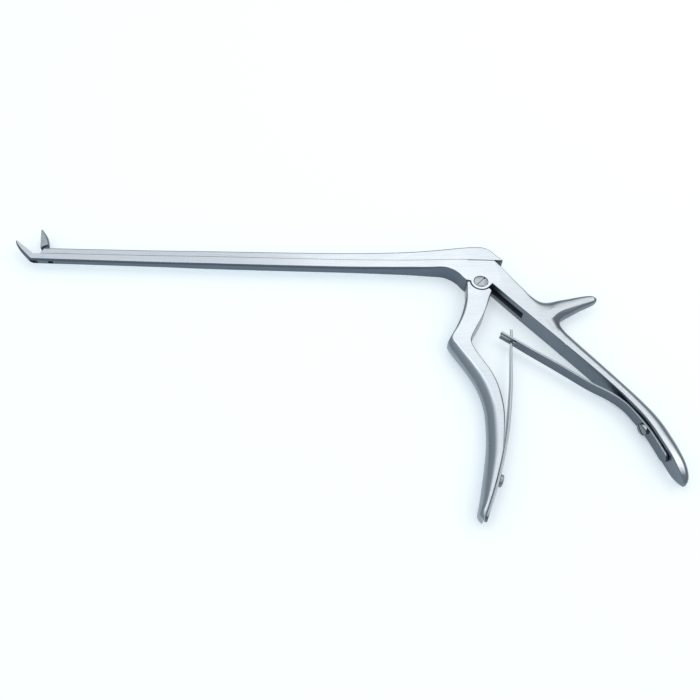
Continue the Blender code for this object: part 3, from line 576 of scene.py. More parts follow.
TRIGGER_BACK = smooth([
    (4.3, -5.2, EASE, EASE), (2.8, -9.0, EASE, EASE), (-0.1, -17.6, EASE, EASE), (-4.2, -25.8, EASE, EASE),
    (-6.3, -31.0, 0.5, 0.5), (-6.2, -34.0, 0.7, 0.7), (-3.7, -39.5, 0.9, 0.9), (-0.2, -45.8, 0.9, 0.9),
    (2.0, -51.5, 0.9, 0.9), (3.3, -58.0, 0.9, 0.9), (3.7, -66.0, 0.8, 0.8), (2.7, -74.5, 0.5, 0.5)])
TRIGGER_BACK += [(x, y, EASE, EASE) for x, y in TRIGGER_SEAT]
REAR_FOOT = [p for p in offset(HANDLE_FRONT, -(SPRING_T / 2 + SEAT_GAP))
             if REAR_FOOT_LOW_Y < p[1] < REAR_FOOT_HIGH_Y]
REAR_SPRING_PATH = smooth([
    (6.7, -26.2), (11.4, -29.6), (18.0, -34.6), (29.0, -42.6), (39.6, -50.7), (46.3, -54.9),
    (50.6, -58.4)] + REAR_FOOT[::8])

HALF_TRAVEL = (DRIVE_PIN_Y - JAW_PIVOT[1]) * math.tan(math.radians(JAW_SWING_DEG / 2))
DRIVE_PIN = (JAW_PIVOT[0] + HALF_TRAVEL, DRIVE_PIN_Y)
DRIVE_RISE = DRIVE_PIN_Y - JAW_PIVOT[1]
SLIDE_TRAVEL = 2 * HALF_TRAVEL
NOSE = (HALF_TRAVEL, NOSE_Y)
JAW_CLOSED_DEG = JAW_REST_DEG + JAW_SWING_DEG


def shaft_width(x):
    plan = np.array(SHAFT_PLAN)
    return float(min(BODY_T, np.interp(x, plan[:, 0], plan[:, 1])))


# Jaws: how deep each blade's back lies at distances along its biting face
FIXED_JAW_DEPTHS = [(1.0, 1.7), (2.0, 2.25), (3.1, 3.1), (4.3, 3.5), (8.0, 3.2), (13.0, 2.6), (17.3, 1.5),
                    (JAW_REACH, 0.3)]
MOVING_JAW_DEPTHS = [(5.0, 3.6), (8.0, 3.7), (11.3, 3.35), (14.5, 2.5), (17.3, 1.3), (JAW_REACH, 0.25)]


def on_jaw(degrees, along, away):
    """A point given along a biting face from the pivot's foot, and away from the other jaw."""
    c, s = math.cos(math.radians(degrees)), math.sin(math.radians(degrees))
    side = -1 if degrees == JAW_CLOSED_DEG else 1
    foot = (JAW_PIVOT[0] - JAW_FACE_OFFSET * s, JAW_PIVOT[1] + JAW_FACE_OFFSET * c)
    return foot[0] + along * c + side * away * s, foot[1] + along * s - side * away * c


def jaw_blade(name, degrees, depths, material, start, fullness, steps=24, least=0.02):
    """A cup blade: flat biting face, half-round back, both running out at the rounded tip."""
    tip_start = JAW_REACH - JAW_W * JAW_TIP_SHARE
    profile = [p for p in smooth(depths, 10) if p[0] >= start]
    rings = []
    for along, depth in profile:
        share = max(0.0, (along - tip_start) / (JAW_REACH - tip_start))
        half = JAW_W / 2 * math.sqrt(max(least, 1 - share ** 2))
        ring = []
        for i in range(steps + 1):
            a = math.pi * i / steps
            ring.append((*on_jaw(degrees, along, BITE_GAP + depth * math.sin(a) ** fullness),
                         MID + half * math.cos(a)))
        rings.append(ring)
    return loft(name, rings, material)


def cup_cutter(name, degrees):
    """The hollow of a cup: half of an ellipsoid under the biting face."""
    bm = bmesh.new()
    bmesh.ops.create_uvsphere(bm, u_segments=40, v_segments=20, radius=1)
    centre = JAW_REACH - CUP_RIM - CUP_LENGTH / 2
    for vert in bm.verts:
        x, y = on_jaw(degrees, centre + vert.co.x * CUP_LENGTH / 2, BITE_GAP + vert.co.y * CUP_DEPTH)
        vert.co = Vector((x, y, MID + vert.co.z * CUP_WIDTH / 2)) * MM
    return add_solid(name, bm, SHADED_SLOT_STEEL)


# Main pieces

def belly_at(x):
    rows = np.array(BELLY[::-1])
    return float(np.interp(x, rows[:, 0], rows[:, 1]))


def make_handle_forging():
    """Fixed lower shaft with the fixed jaw, head, rear handle and spur."""
    top_y = SEAM_Y - SLIDE_GAP / 2
    stations = [x for x, _ in SHAFT_PLAN if SHAFT_FRONT_X < x < HEAD_FRONT_X]
    stations += [x for x, _ in BELLY if x > BELLY_FADE_X]
    stations = [SHAFT_FRONT_X + EASE] + sorted(set(stations)) + SHAFT_ROOT
    rings = []
    for x in stations:
        half, low_y = shaft_width(x) / 2, belly_at(x)
        fade = min(1, max(0, (x - BELLY_FADE_X) / BELLY_FADE_L))
        r = BELLY_ROUND + (EASE - BELLY_ROUND) * fade
        section = arc((r - half, low_y + r), r, 180, 270, 7) + arc((half - r, low_y + r), r, 270, 360, 7)
        section += [(half, top_y), (-half, top_y)]
        rings.append([(x, y, MID + z) for z, y in section])
    item = loft("handle_forging", rings, SHAFT_STEEL)

    boss = arc((0, 0), BOSS_R, -45, -184, 36)
    outline = [(7.0, top_y), (8.6, 7.5), (9.2, 0.0), (8.6, -3.0), HANDLE_FRONT[0]] + boss
    outline += [(HEAD_FRONT_X, HEAD_FRONT_LOW_Y), (HEAD_FRONT_X, top_y)]
    head = plate("head", outline, BODY_T, SHAFT_STEEL, EASE)
    inner = [(x, y, EASE, EASE) for x, y in HANDLE_FRONT]
    grip = bar("rear_handle", inner, HANDLE_BACK, 110, HANDLE_STEEL, bend=1.05)
    spur = bar("spur", SPUR_RIDGE, SPUR_TOP, 80, HANDLE_STEEL, bend=0.9)
    crook = band("crook", CROOK, 70, HANDLE_STEEL)
    fixed_jaw = jaw_blade(
        "fixed_jaw", JAW_CLOSED_DEG, FIXED_JAW_DEPTHS, SHAFT_STEEL, start=1.6, fullness=0.4)
    combine(item, "UNION", head, grip, spur, crook, fixed_jaw)
    soften(item, SADDLE, SADDLE_R, SADDLE_ROUNDS)

    neck = RAIL_NECK_W / 2 + SLIDE_GAP
    rail_head = RAIL_HEAD_W / 2 + SLIDE_GAP
    neck_low = top_y - RAIL_NECK_H + SLIDE_GAP
    groove_low = neck_low - RAIL_HEAD_T - 2 * SLIDE_GAP
    front_x = RAIL_FRONT_X - SLIDE_TRAVEL - 4 * SLIDE_GAP
    slot_outline = arc((0, 0), TONGUE_R + TONGUE_GAP, 140, 380, 48) + [
        (HEAD_SLOT_HALF, HEAD_SLOT_LOW_Y), (HEAD_SLOT_HALF, SEAM_Y + PAST),
        (-HEAD_SLOT_HALF, SEAM_Y + PAST), (-HEAD_SLOT_HALF, HEAD_SLOT_LOW_Y)]
    edge = [p for p in HANDLE_FRONT if p[1] > HANDLE_POCKET_END_Y]
    pocket_outline = offset(edge, -2 * PAST) + offset(edge, HANDLE_POCKET_DEEP)[::-1]
    floor = JAW_PIVOT[1] - JAW_EYE_R - JAW_EYE_GAP
    back = JAW_PIVOT[0] + JAW_EYE_R + JAW_SLOT_BACK
    front = JAW_PIVOT[0] - JAW_SLOT_REACH
    through = JAW_PIVOT[0] - JAW_SLOT_THROUGH
    jaw_slot = [
        (front, SEAM_Y + PAST), (front, JAW_SLOT_LOW_Y), (through, JAW_SLOT_LOW_Y), (through, floor),
        (back - JAW_SLOT_CORNER, floor), (back, floor + JAW_SLOT_CORNER), (back + PAST, SEAM_Y + PAST)]
    window_x = JAW_PIVOT[0] + FRONT_WINDOW_BACK
    combine(
        item, "DIFFERENCE",
        cup_cutter("fixed_cup", JAW_CLOSED_DEG),
        box("groove_neck", (front_x, groove_low + LAP, MID - neck),
            (GROOVE_BACK_X, SEAM_Y + PAST, MID + neck), SHADED_SLOT_STEEL),
        box("groove_head", (front_x, groove_low, MID - rail_head),
            (GROOVE_BACK_X, neck_low, MID + rail_head), SHADED_SLOT_STEEL),
        plate("head_slot", slot_outline, TONGUE_T + 2 * SLIDE_GAP, SHADED_SLOT_STEEL),
        plate("handle_pocket", pocket_outline, TONGUE_T + 2 * SLIDE_GAP, SHADED_SLOT_STEEL),
        plate("jaw_slot", jaw_slot, JAW_TONGUE_T + 2 * SLIDE_GAP, SHADED_SLOT_STEEL),
        box("front_window", (window_x, JAW_SLOT_LOW_Y - PAST, MID - FRONT_WINDOW_W / 2),
            (window_x + FRONT_WINDOW_L, groove_low + SLIDE_GAP, MID + FRONT_WINDOW_W / 2), SHADED_SLOT_STEEL),
        rod("pivot_bore", PIVOT_SHANK_R + PIN_GAP, -PAST, BODY_T + PAST, (0, 0), SHADED_SLOT_STEEL),
        rod("pivot_recess", PIVOT_HEAD_R + 2 * PIN_GAP, BODY_T - PIVOT_HEAD_T - PIN_GAP, BODY_T + PAST,
            (0, 0), SHADED_SLOT_STEEL, 64),
        rod("jaw_pin_hole", JAW_PIN_R + FLUSH_GAP, 0, BODY_T, JAW_PIVOT, SHAFT_STEEL),
        screw_hole("rear_screw_hole", REAR_SCREW, REAR_SCREW_AXIS))
    return item


def make_sliding_shaft():
    """The upper shaft, with its T rail below, the jaw's slot in front and the nose's pocket behind."""
    low_y = SEAM_Y + SLIDE_GAP / 2
    top = np.array(SLIDE_TOP)
    stations = [x for x, _ in SHAFT_PLAN if SLIDE_FRONT_X + PAST < x < SLIDE_SHAPED_X]
    stations = [SLIDE_FRONT_X] + stations + [x for x, _ in SLIDE_TOP if x > SLIDE_SHAPED_X]
    rings = []
    for x in stations:
        half = shaft_width(x) / 2
        high_y = float(np.interp(x, top[:, 0], top[:, 1]))
        r = min(SLIDE_TOP_ROUND, SLIDE_ROUND_SHARE * (high_y - low_y))
        section = [(-half, low_y), (half, low_y)]
        section += arc((half - r, high_y - r), r, 0, 90, 8) + arc((r - half, high_y - r), r, 90, 180, 8)
        rings.append([(x, y, MID + z) for z, y in section])
    item = loft("sliding_shaft", rings, SHAFT_STEEL)

    rail_low = low_y - RAIL_NECK_H - RAIL_HEAD_T
    combine(
        item, "UNION",
        box("rail_neck", (RAIL_FRONT_X, rail_low + 2 * LAP, MID - RAIL_NECK_W / 2),
            (RAIL_BACK_X, low_y + PAST / 2, MID + RAIL_NECK_W / 2), SHADED_SLOT_STEEL),
        box("rail_head", (RAIL_FRONT_X - RAIL_STEP, rail_low, MID - RAIL_HEAD_W / 2),
            (RAIL_BACK_X + RAIL_STEP, rail_low + RAIL_HEAD_T, MID + RAIL_HEAD_W / 2), SHADED_SLOT_STEEL))

    inner_z, outer_z = SLIDE_BEVEL_Z
    ahead_x, slant_x = SLIDE_FRONT_X - PAST, SLIDE_FRONT_X + SLIDE_FRONT_SLANT
    front_cut = [[(ahead_x, low_y, MID + z), (SLIDE_FRONT_X + back, low_y, MID + z),
                  (slant_x + back, SLIDE_CUT_Y, MID + z), (ahead_x, SLIDE_CUT_Y, MID + z)]
                 for z, back in ((-outer_z, SLIDE_FRONT_BEVEL), (-inner_z, 0), (inner_z, 0),
                                 (outer_z, SLIDE_FRONT_BEVEL))]
    slot_half = JAW_TONGUE_T / 2 + SLIDE_GAP
    pocket_half = TONGUE_T / 2 + SLIDE_GAP
    side = NOSE_R + SLIDE_GAP / 2
    combine(
        item, "DIFFERENCE",
        box("slide_jaw_slot", (SLIDE_FRONT_X - PAST, low_y - PAST, MID - slot_half),
            (DRIVE_PIN[0] + SLIDE_SLOT_BACK, SLIDE_SLOT_HIGH_Y, MID + slot_half), SHADED_SLOT_STEEL),
        box("nose_pocket", (NOSE[0] - side, low_y - PAST, MID - pocket_half),
            (NOSE[0] + side, NOSE_Y + NOSE_R + 2 * SLIDE_GAP, MID + pocket_half), SHADED_SLOT_STEEL),
        rod("drive_pin_hole", JAW_PIN_R + FLUSH_GAP, 0, BODY_T, DRIVE_PIN, SHAFT_STEEL),
        loft("slide_front", front_cut, SHAFT_STEEL))
    return item


def make_hinged_cup_jaw():
    """The moving cup jaw: a full-width blade on a thin tongue with a pin eye and a drive slot."""
    item = jaw_blade(
        "hinged_cup_jaw", JAW_REST_DEG, MOVING_JAW_DEPTHS, JAW_STEEL, start=5.5, fullness=0.55)
    rest_front = SLIDE_FRONT_X - JAW_FRONT_GAP
    closed_front = rest_front - SLIDE_TRAVEL
    step_y = JAW_CLEAR_Y - JAW_STEP_H
    corner = turn((closed_front, JAW_CLEAR_Y), JAW_PIVOT, -JAW_SWING_DEG)
    lip = turn((closed_front + JAW_LIP_L, JAW_CLEAR_Y), JAW_PIVOT, -JAW_SWING_DEG)
    under_front = rest_front - JAW_UNDER_REACH
    under = [(under_front, step_y), (rest_front, step_y), (rest_front, JAW_CLEAR_Y),
             corner, lip, (lip[0], JAW_UNDER_LOW_Y), (under_front, JAW_UNDER_LOW_Y)]
    combine(item, "DIFFERENCE", plate("jaw_underside", under, BODY_T, SHADED_SLOT_STEEL))

    back_x = DRIVE_PIN[0] + JAW_PIN_R + PIN_GAP + JAW_TONGUE_BACK
    tongue = arc(JAW_PIVOT, JAW_EYE_R, JAW_REST_DEG + 90, 360, 20) + [
        (back_x - 0.3, DRIVE_PIN_Y - 1.7), (back_x, DRIVE_PIN_Y - 0.5), (back_x, DRIVE_PIN_Y + 0.5),
        (DRIVE_PIN[0], DRIVE_PIN_Y + 1.4),
        on_jaw(JAW_REST_DEG, 9.2, 2.6), on_jaw(JAW_REST_DEG, 10.5, 1.8),
        on_jaw(JAW_REST_DEG, 10.5, 0.6), on_jaw(JAW_REST_DEG, 3.0, 0.35)]
    combine(item, "UNION", plate("jaw_tongue", tongue, JAW_TONGUE_T, SHADED_SLOT_STEEL))

    radial = math.degrees(math.atan2(DRIVE_RISE, HALF_TRAVEL))
    half_slot = JAW_PIN_R + PIN_GAP
    long_r = math.hypot(DRIVE_RISE, HALF_TRAVEL)
    slot = arc((long_r, 0), half_slot, -90, 90, 12) + arc((DRIVE_RISE, 0), half_slot, 90, 270, 12)
    slot = [turn((JAW_PIVOT[0] + x, JAW_PIVOT[1] + y), JAW_PIVOT, radial) for x, y in slot]
    combine(
        item, "DIFFERENCE", cup_cutter("moving_cup", JAW_REST_DEG),
        rod("jaw_eye", JAW_PIN_R + PIN_GAP, 0, BODY_T, JAW_PIVOT, SHADED_SLOT_STEEL, 32),
        plate("drive_slot", slot, BODY_T, SHADED_SLOT_STEEL))
    return item


def make_trigger_grip():
    """The front grip, its neck, and the thin tongue that reaches through the head to the slide."""
    shoulder = arc((0, 0), BOSS_R + SHOULDER_GAP, -47, -178, 36)
    outline = [TRIGGER_TOP_CORNER, TRIGGER_FRONT[0][:2], (-5.0, -7.4), (2.4, -7.4), TRIGGER_BACK[0][:2]]
    item = plate("trigger_grip", outline + shoulder, BODY_T, TRIGGER_STEEL, EASE)
    grip = bar("grip", TRIGGER_BACK, TRIGGER_FRONT, 130, TRIGGER_STEEL, bend=1.25)
    lean = math.degrees(math.atan2(NOSE[0], NOSE_Y))
    arm = arc((0, 0), TONGUE_R, 125 - lean, 200, 12) + [(-4.0, -8.0), (2.0, -8.0)]
    arm += arc((0, 0), TONGUE_R, -50, 55 - lean, 16)
    nose = [turn(p, (0, 0), -lean) for p in (
        [(ARM_ROOT_HALF_W, ARM_ROOT_Y)] + arc((0, math.hypot(*NOSE)), NOSE_R, -40, 220, 24)
        + [(-ARM_ROOT_HALF_W, ARM_ROOT_Y)])]
    combine(item, "UNION", grip, plate("trigger_tongue", arm + nose, TONGUE_T, SHADED_SLOT_STEEL))
    combine(
        item, "DIFFERENCE",
        rod("trigger_bore", PIVOT_SHANK_R + PIN_GAP, -PAST, BODY_T + PAST, (0, 0), SHADED_SLOT_STEEL),
        screw_hole("front_screw_hole", FRONT_SCREW, FRONT_SCREW_AXIS))
    return item


# Node trees

def new_tree(name, inputs, output):
    """A modifier's tree with its inputs, given by kind and name, and its one output."""
    tree = bpy.data.node_groups.new(name, "GeometryNodeTree")
    tree.is_modifier = True
    for kind, names in inputs.items():
        for socket in names:
            tree.interface.new_socket(socket, in_out="INPUT", socket_type="NodeSocket" + kind)
    tree.interface.new_socket(output, in_out="OUTPUT", socket_type="NodeSocketGeometry")
    return tree


def grown(source, tree, values):
    """The plain mesh that a tree makes from an object, which is then removed."""
    modifier = source.modifiers.new("grown", "NODES")
    modifier.node_group = tree
    for socket in tree.interface.items_tree:
        if socket.item_type == "SOCKET" and socket.name in values:
            modifier[socket.identifier] = values[socket.name]
    bpy.context.view_layer.update()
    mesh = bpy.data.meshes.new_from_object(source.evaluated_get(bpy.context.evaluated_depsgraph_get()))
    bpy.data.objects.remove(source)
    return mesh


# Turned parts: one tree turns a profile about Z and cuts a driver slot across its top

def driver_tree():
    tree = new_tree("turned_part", {
        "Geometry": ["Profile"], "Int": ["Steps Around"],
        "Float": ["Slot Length", "Slot Width", "Slot Floor", "Slot Angle"], "Material": ["Steel"]}, "Part")
    start = add_node(tree, "NodeGroupInput").outputs
    path = add_node(tree, "GeometryNodeCurvePrimitiveCircle", {
        "Resolution": start["Steps Around"], "Radius": TURNING_R * MM})
    skin = add_node(tree, "GeometryNodeCurveToMesh", {
        "Curve": path.outputs["Curve"], "Profile Curve": start["Profile"]})
    closed = add_node(tree, "GeometryNodeMergeByDistance", {
        "Geometry": skin.outputs["Mesh"], "Distance": SAME_TURNED_POINT * MM})
    room = add_node(tree, "ShaderNodeCombineXYZ", {
        "X": start["Slot Length"], "Y": start["Slot Width"], "Z": SLOT_CUTTER_H * MM})
    block = add_node(tree, "GeometryNodeMeshCube", {"Size": room.outputs["Vector"]})
    lift = add_node(tree, "ShaderNodeMath", {
        0: start["Slot Floor"], 1: SLOT_CUTTER_H / 2 * MM}, operation="ADD")
    up = add_node(tree, "ShaderNodeCombineXYZ", {"Z": lift.outputs["Value"]})
    about = add_node(tree, "ShaderNodeCombineXYZ", {"Z": start["Slot Angle"]})
    placed = add_node(tree, "GeometryNodeTransform", {
        "Geometry": block.outputs["Mesh"], "Translation": up.outputs["Vector"],
        "Rotation": about.outputs["Vector"]})
    slotted = add_node(tree, "GeometryNodeMeshBoolean", {
        "Mesh 1": closed.outputs["Geometry"], "Mesh 2": placed.outputs["Geometry"]}, operation="DIFFERENCE",
        solver="MANIFOLD")
    real = add_node(tree, "GeometryNodeRealizeInstances", {"Geometry": slotted.outputs["Mesh"]})
    steel = add_node(tree, "GeometryNodeSetMaterial", {
        "Geometry": real.outputs["Geometry"], "Material": start["Steel"]})
    add_node(tree, "NodeGroupOutput", {"Part": steel.outputs["Geometry"]})
    return tree


def make_turned(name, tree, profile, place, axis, slot_floor, slot_width, slot_deg=0.0, steps=48,
                steel=SCREW_STEEL):
    """A piece turned from a profile of (radius, height), set on its place with its top along an axis."""
    curve = bpy.data.curves.new(name + "_profile", "CURVE")
    curve.dimensions = "3D"
    spline = curve.splines.new("POLY")
    spline.points.add(len(profile) - 1)
    for point, (r, z) in zip(spline.points, profile):
        point.co = (r * MM, -z * MM, 0, 1)
    source = new_object(name + "_profile", curve)
    values = {
        "Steps Around": steps, "Slot Length": SLOT_CUTTER_L * MM, "Slot Width": slot_width * MM,
        "Slot Floor": slot_floor * MM, "Slot Angle": math.radians(slot_deg), "Steel": steel}
    mesh = grown(source, tree, values)
    turned = Vector((0, 0, 1)).rotation_difference(Vector(axis)).to_matrix().to_4x4()
    mesh.transform(Matrix.Translation(Vector(place) * MM) @ turned)
    return new_object(name, mesh)


def spring_screw_place(path, y, side):
    """Where a spring's screw stands on the leaf, and the way it points out."""
    (x, y), (dx, dy) = at_height(path, y)
    out = (-dy * side, dx * side)
    seat = SPRING_T / 2 + SPRING_SCREW_RISE
    return (x + out[0] * seat, y + out[1] * seat), out


REAR_SCREW, REAR_SCREW_AXIS = spring_screw_place(REAR_SPRING_PATH, REAR_SCREW_Y, -1)
FRONT_SCREW, FRONT_SCREW_AXIS = spring_screw_place(FRONT_SPRING_PATH, FRONT_SCREW_Y, 1)


def screw_hole(name, place, axis, steps=32):
    """A round hole along an axis in the middle plane, from just above the leaf to past the screw's end."""
    ring = arc((0, 0), SPRING_SCREW_R + PIN_GAP, 0, 360, steps)[:-1]
    rings = [[(place[0] + axis[0] * deep - axis[1] * s, place[1] + axis[1] * deep + axis[0] * s, MID + z)
              for s, z in ring] for deep in (PAST, -SPRING_SCREW_DEEP - SEAT_GAP)]
    return loft(name, rings, SHADED_SLOT_STEEL)


# Leaf springs: one tree runs a softened strip along a path, as wide at each point as the path says

def leaf_tree():
    tree = new_tree("leaf_on_path", {
        "Geometry": ["Path"], "Float": ["Thickness", "Edge Round", "Middle Height"],
        "Material": ["Steel"]}, "Leaf")
    start = add_node(tree, "NodeGroupInput").outputs
    path = add_node(tree, "GeometryNodeMeshToCurve", {"Mesh": start["Path"]})
    strip = add_node(tree, "GeometryNodeCurvePrimitiveQuadrilateral", {
        "Width": start["Thickness"], "Height": LEAF_CORE * MM})
    softened = add_node(tree, "GeometryNodeFilletCurve", {
        "Curve": strip.outputs["Curve"], "Radius": start["Edge Round"], "Count": 3}, mode="POLY")
    skin = add_node(tree, "GeometryNodeCurveToMesh", {
        "Curve": path.outputs["Curve"], "Profile Curve": softened.outputs["Curve"], "Fill Caps": True})
    place = add_node(tree, "GeometryNodeInputPosition").outputs["Position"]
    height = add_node(tree, "ShaderNodeSeparateXYZ", {"Vector": place}).outputs["Z"]
    above = add_node(tree, "ShaderNodeMath", {0: height, 1: start["Middle Height"]}, operation="SUBTRACT")
    side = add_node(tree, "ShaderNodeMath", {0: above.outputs["Value"]}, operation="SIGN")
    width = add_node(tree, "GeometryNodeInputNamedAttribute", {"Name": "width"}, data_type="FLOAT")
    spread = add_node(tree, "ShaderNodeMath", {
        0: width.outputs["Attribute"], 1: 0.5, 2: -LEAF_CORE * MM / 2}, operation="MULTIPLY_ADD")
    shift = add_node(tree, "ShaderNodeMath", {0: side.outputs["Value"], 1: spread.outputs["Value"]},
                     operation="MULTIPLY")
    outwards = add_node(tree, "ShaderNodeCombineXYZ", {"Z": shift.outputs["Value"]})
    widened = add_node(tree, "GeometryNodeSetPosition", {
        "Geometry": skin.outputs["Mesh"], "Offset": outwards.outputs["Vector"]})
    real = add_node(tree, "GeometryNodeRealizeInstances", {"Geometry": widened.outputs["Geometry"]})
    steel = add_node(tree, "GeometryNodeSetMaterial", {
        "Geometry": real.outputs["Geometry"], "Material": start["Steel"]})
    add_node(tree, "NodeGroupOutput", {"Leaf": steel.outputs["Geometry"]})
    return tree


def make_leaf(name, tree, path, width_at):
    """A leaf of spring steel along a path, from its tip to its half-round foot."""
    path = resample(path, LEAF_STATIONS)
    step = math.dist(path[0], path[1])
    mesh = bpy.data.meshes.new(name + "_path")
    edges = [(i, i + 1) for i in range(len(path) - 1)]
    mesh.from_pydata([(x * MM, y * MM, MID * MM) for x, y in path], edges, [])
    wide = mesh.attributes.new("width", "FLOAT", "POINT")
    for i, (x, y) in enumerate(path):
        width = width_at(i * step, y)
        short = max(0.0, width / 2 - (len(path) - 1 - i) * step)
        wide.data[i].value = max(LEAF_LEAST_W, math.sqrt(width ** 2 - 4 * short ** 2)) * MM
    source = new_object(name + "_path", mesh)
    leaf_mesh = grown(source, tree, {
        "Thickness": SPRING_T * MM, "Edge Round": LEAF_EDGE * MM, "Middle Height": MID * MM,
        "Steel": SPRING_STEEL})
    return new_object(name, leaf_mesh)


def make_rear_leaf(tree):
    item = make_leaf("forked_leaf_spring", tree, REAR_SPRING_PATH,
                     lambda run, y: FORK_W + (REAR_SPRING_W - FORK_W) * min(1, run / FORK_RUN))
    tip, after = REAR_SPRING_PATH[0], REAR_SPRING_PATH[8]
    angle = math.degrees(math.atan2(after[1] - tip[1], after[0] - tip[0]))
    combine(
        item, "DIFFERENCE",
        box("fork_slot", (-PAST, -3, MID - FORK_SLOT_W / 2), (FORK_SLOT_L, 3, MID + FORK_SLOT_W / 2),
            SHADED_SLOT_STEEL, angle, tip),
        screw_hole("rear_leaf_hole", REAR_SCREW, REAR_SCREW_AXIS))
    return item


def make_front_leaf(tree):
    item = make_leaf(
        "tongued_leaf_spring", tree, FRONT_SPRING_PATH,
        lambda run, y: min(FRONT_SPRING_W, TONGUE_TIP_W + max(0, TONGUE_END_Y - y) * TONGUE_TAPER))
    combine(item, "DIFFERENCE", screw_hole("front_leaf_hole", FRONT_SCREW, FRONT_SCREW_AXIS))
    return item


def make_pin(name, tree, place):
    """A plain pin across the shaft. Its slot's cutter stands above its end and cuts nothing."""
    half = shaft_width(place[0]) / 2
    profile = [
        (0, half), (JAW_PIN_R - JAW_PIN_EDGE, half), (JAW_PIN_R, half - JAW_PIN_EDGE),
        (JAW_PIN_R, JAW_PIN_EDGE - half), (JAW_PIN_R - JAW_PIN_EDGE, -half), (0, -half)]
    return make_turned(name, tree, profile, (*place, MID), (0, 0, 1), half + PAST, 0.1, steel=SHAFT_STEEL)


turned_tree = driver_tree()
pivot_profile = [
    (0, BODY_T), (PIVOT_HEAD_R - PIVOT_ROUND, BODY_T),
    (PIVOT_HEAD_R - PIVOT_ROUND_MID, BODY_T - PIVOT_ROUND_MID),
    (PIVOT_HEAD_R, BODY_T - PIVOT_ROUND), (PIVOT_HEAD_R, BODY_T - PIVOT_HEAD_T),
    (PIVOT_SHANK_R, BODY_T - PIVOT_HEAD_T), (PIVOT_SHANK_R, 0), (0, 0)]
pivot = make_turned("slotted_pivot_screw", turned_tree, pivot_profile, (0, 0, 0), (0, 0, 1),
                    BODY_T - PIVOT_SLOT_DEEP, PIVOT_SLOT_W, PIVOT_SLOT_DEG, 64)
dome = [(SPRING_SCREW_HEAD_R * math.sin(a),
         SPRING_SCREW_HEAD_T * (SPRING_SCREW_RIM_SHARE + SPRING_SCREW_DOME_SHARE * math.cos(a)))
        for a in quarter(12)]
screw_profile = dome + [(SPRING_SCREW_HEAD_R, 0), (SPRING_SCREW_R, 0), (SPRING_SCREW_R, -SPRING_SCREW_DEEP),
                        (0, -SPRING_SCREW_DEEP)]
rear_screw, front_screw = (
    make_turned(screw_name, turned_tree, screw_profile, (*screw_place, MID), (*screw_axis, 0),
                SPRING_SCREW_HEAD_T / 2, SPRING_SCREW_SLOT_W, 90)
    for screw_name, screw_place, screw_axis in (
        ("rear_leaf_screw", REAR_SCREW, REAR_SCREW_AXIS),
        ("front_leaf_screw", FRONT_SCREW, FRONT_SCREW_AXIS)))
hinge_pin = make_pin("hinge_pin", turned_tree, JAW_PIVOT)
drive_pin = make_pin("drive_pin", turned_tree, DRIVE_PIN)

forging = make_handle_forging()
upper_shaft = make_sliding_shaft()
cup_jaw = make_hinged_cup_jaw()
trigger = make_trigger_grip()
strip_tree = leaf_tree()
rear_leaf = make_rear_leaf(strip_tree)
front_leaf = make_front_leaf(strip_tree)

pieces = [
    (forging, "handle_body", "frame"), (upper_shaft, "slide", "slide_body"),
    (cup_jaw, "moving_jaw", "jaw_body"), (trigger, "trigger", "trigger_body"),
    (pivot, "pivot_screw", "frame"), (rear_screw, "rear_spring_screw", "frame"),
    (front_screw, "front_spring_screw", "trigger_body"), (hinge_pin, "jaw_pivot_pin", "frame"),
    (drive_pin, "jaw_drive_pin", "slide_body")]
for piece, node, body in pieces:
    shade(piece)
    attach(piece, body)
    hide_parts(node)

# Each leaf with its node, two bodies and two places on it in metres; the loop below leaves the bodies and
# places unused
leaves = [
    (rear_leaf, "rear_leaf_spring", "frame", "rear_spring_body",
     (0.056, -0.066, 0.0041), (0.03, -0.043, 0.0041)),
    (front_leaf, "front_leaf_spring", "trigger_body", "front_spring_body",
     (0.003, -0.08, 0.0041), (0.0065, -0.06, 0.0041))]
for leaf, node, parent, child, start, end in leaves:
    shade(leaf)
    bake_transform(leaf)
    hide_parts(node)


# Studio: pale floor, soft walls and lamps, and a camera at the photograph's angle

# Half the floor's side in metres, and how far the floor that is seen or mirrored is lifted towards white
FLOOR_HALF = 1.5
FLOOR_LIFT = 0.38
# The studio's walls from the horizon up, as height and brightness: dark at bench level, brightest high up
STUDIO = ((0.0, 0.4), (0.14, 0.46), (0.3, 0.68), (0.55, 0.64), (0.7, 0.8), (0.86, 0.88), (1.0, 0.62))
STUDIO_TINT = "#f0f5fb"
# Name, place, aim and side of each square lamp in metres, its watts and its colour
LAMPS = (
    ("right_key", (0.64, 0.1, 0.77), (0.0, -0.03, 0), 0.5, 0.7, "#fff4e4"),
    ("back_softbox", (0.08, 0.72, 0.8), (0.0, 0.0, 0), 0.55, 0.38, "#fffdfa"),
    ("back_right_strip", (0.62, 0.66, 0.44), (0.05, -0.05, 0), 0.2, 0.2, "#fffaf4"),
    ("top_left_softbox", (-0.3, 0.1, 0.8), (0.0, -0.06, 0), 0.25, 0.35, "#eef5ff"))
# The camera fitted to the photograph: place in metres, tilt and turn in degrees, lens and film in millimetres
CAMERA_PLACE = (-0.05208, -0.19134, 0.22492)
CAMERA_TILT = 35.1
CAMERA_TURN = 1.83
CAMERA_LENS = 33.17
CAMERA_FILM = 36
CAMERA_NEAR = 0.001


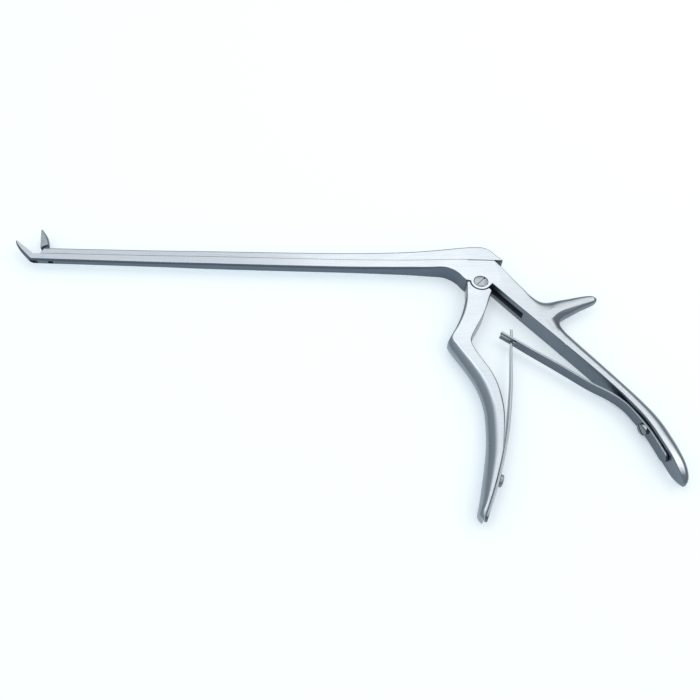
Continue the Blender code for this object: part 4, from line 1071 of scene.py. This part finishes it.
def make_floor():
    bm = bmesh.new()
    bmesh.ops.create_grid(bm, x_segments=1, y_segments=1, size=FLOOR_HALF)
    # Matt white card: an even pale ground without shine, on which the shadows stay soft
    material = bpy.data.materials.new("matt_white_card")
    material.use_nodes = True
    tree = material.node_tree
    shader = tree.nodes["Principled BSDF"]
    shader.inputs["Base Color"].default_value = linear("#eff6f8")
    shader.inputs["Roughness"].default_value = 0.9
    shader.inputs["Specular IOR Level"].default_value = 0.0
    ray = add_node(tree, "ShaderNodeLightPath").outputs
    seen = add_node(tree, "ShaderNodeMath", {
        0: ray["Is Camera Ray"], 1: ray["Is Glossy Ray"]}, operation="MAXIMUM")
    shown = add_node(tree, "ShaderNodeMath", {
        0: seen.outputs[0], 1: ray["Is Transmission Ray"]}, operation="MAXIMUM")
    lift = add_node(tree, "ShaderNodeMath", {0: shown.outputs[0], 1: FLOOR_LIFT}, operation="MULTIPLY")
    shader.inputs["Emission Color"].default_value = linear("#f2faff")
    tree.links.new(lift.outputs[0], shader.inputs["Emission Strength"])
    floor = add_solid("floor", bm, material)


def make_world():
    world = bpy.data.worlds.new("soft_studio")
    bpy.context.scene.world = world
    world.use_nodes = True
    tree = world.node_tree
    shader = tree.nodes["Background"]
    way = add_node(tree, "ShaderNodeTexCoord").outputs["Generated"]
    height = add_node(tree, "ShaderNodeSeparateXYZ", {"Vector": way}).outputs["Z"]
    ramp = add_node(tree, "ShaderNodeValToRGB", {"Fac": height})
    stops = ramp.color_ramp.elements
    for _ in range(len(STUDIO) - len(stops)):
        stops.new(0.5)
    tint = linear(STUDIO_TINT)
    for stop, (place, level) in zip(stops, STUDIO):
        stop.position = place
        stop.color = tuple(level * c for c in tint[:3]) + (1,)
    seen = add_node(tree, "ShaderNodeLightPath").outputs["Is Camera Ray"]
    colour = add_node(tree, "ShaderNodeMix", {"Factor": seen, 6: ramp.outputs["Color"], 7: (1, 1, 1, 1)},
                      data_type="RGBA")
    tree.links.new(colour.outputs[2], shader.inputs["Color"])


def make_lamp(name, place, target, size, watts, colour):
    data = bpy.data.lights.new(name, "AREA")
    data.shape = "SQUARE"
    data.size = size
    data.energy = watts
    data.color = linear(colour)[:3]
    lamp = new_object(name, data)
    lamp.location = place
    lamp.rotation_euler = (Vector(target) - Vector(place)).to_track_quat("-Z", "Y").to_euler()


make_floor()
make_world()
for lamp_values in LAMPS:
    make_lamp(*lamp_values)

camera_data = bpy.data.cameras.new("camera")
camera_data.lens = CAMERA_LENS
camera_data.sensor_width = CAMERA_FILM
camera_data.clip_start = CAMERA_NEAR
camera = new_object("camera", camera_data)
camera.location = CAMERA_PLACE
camera.rotation_euler = (math.radians(CAMERA_TILT), 0, math.radians(CAMERA_TURN))
bpy.context.scene.camera = camera
bpy.context.scene.view_settings.view_transform = "Standard"
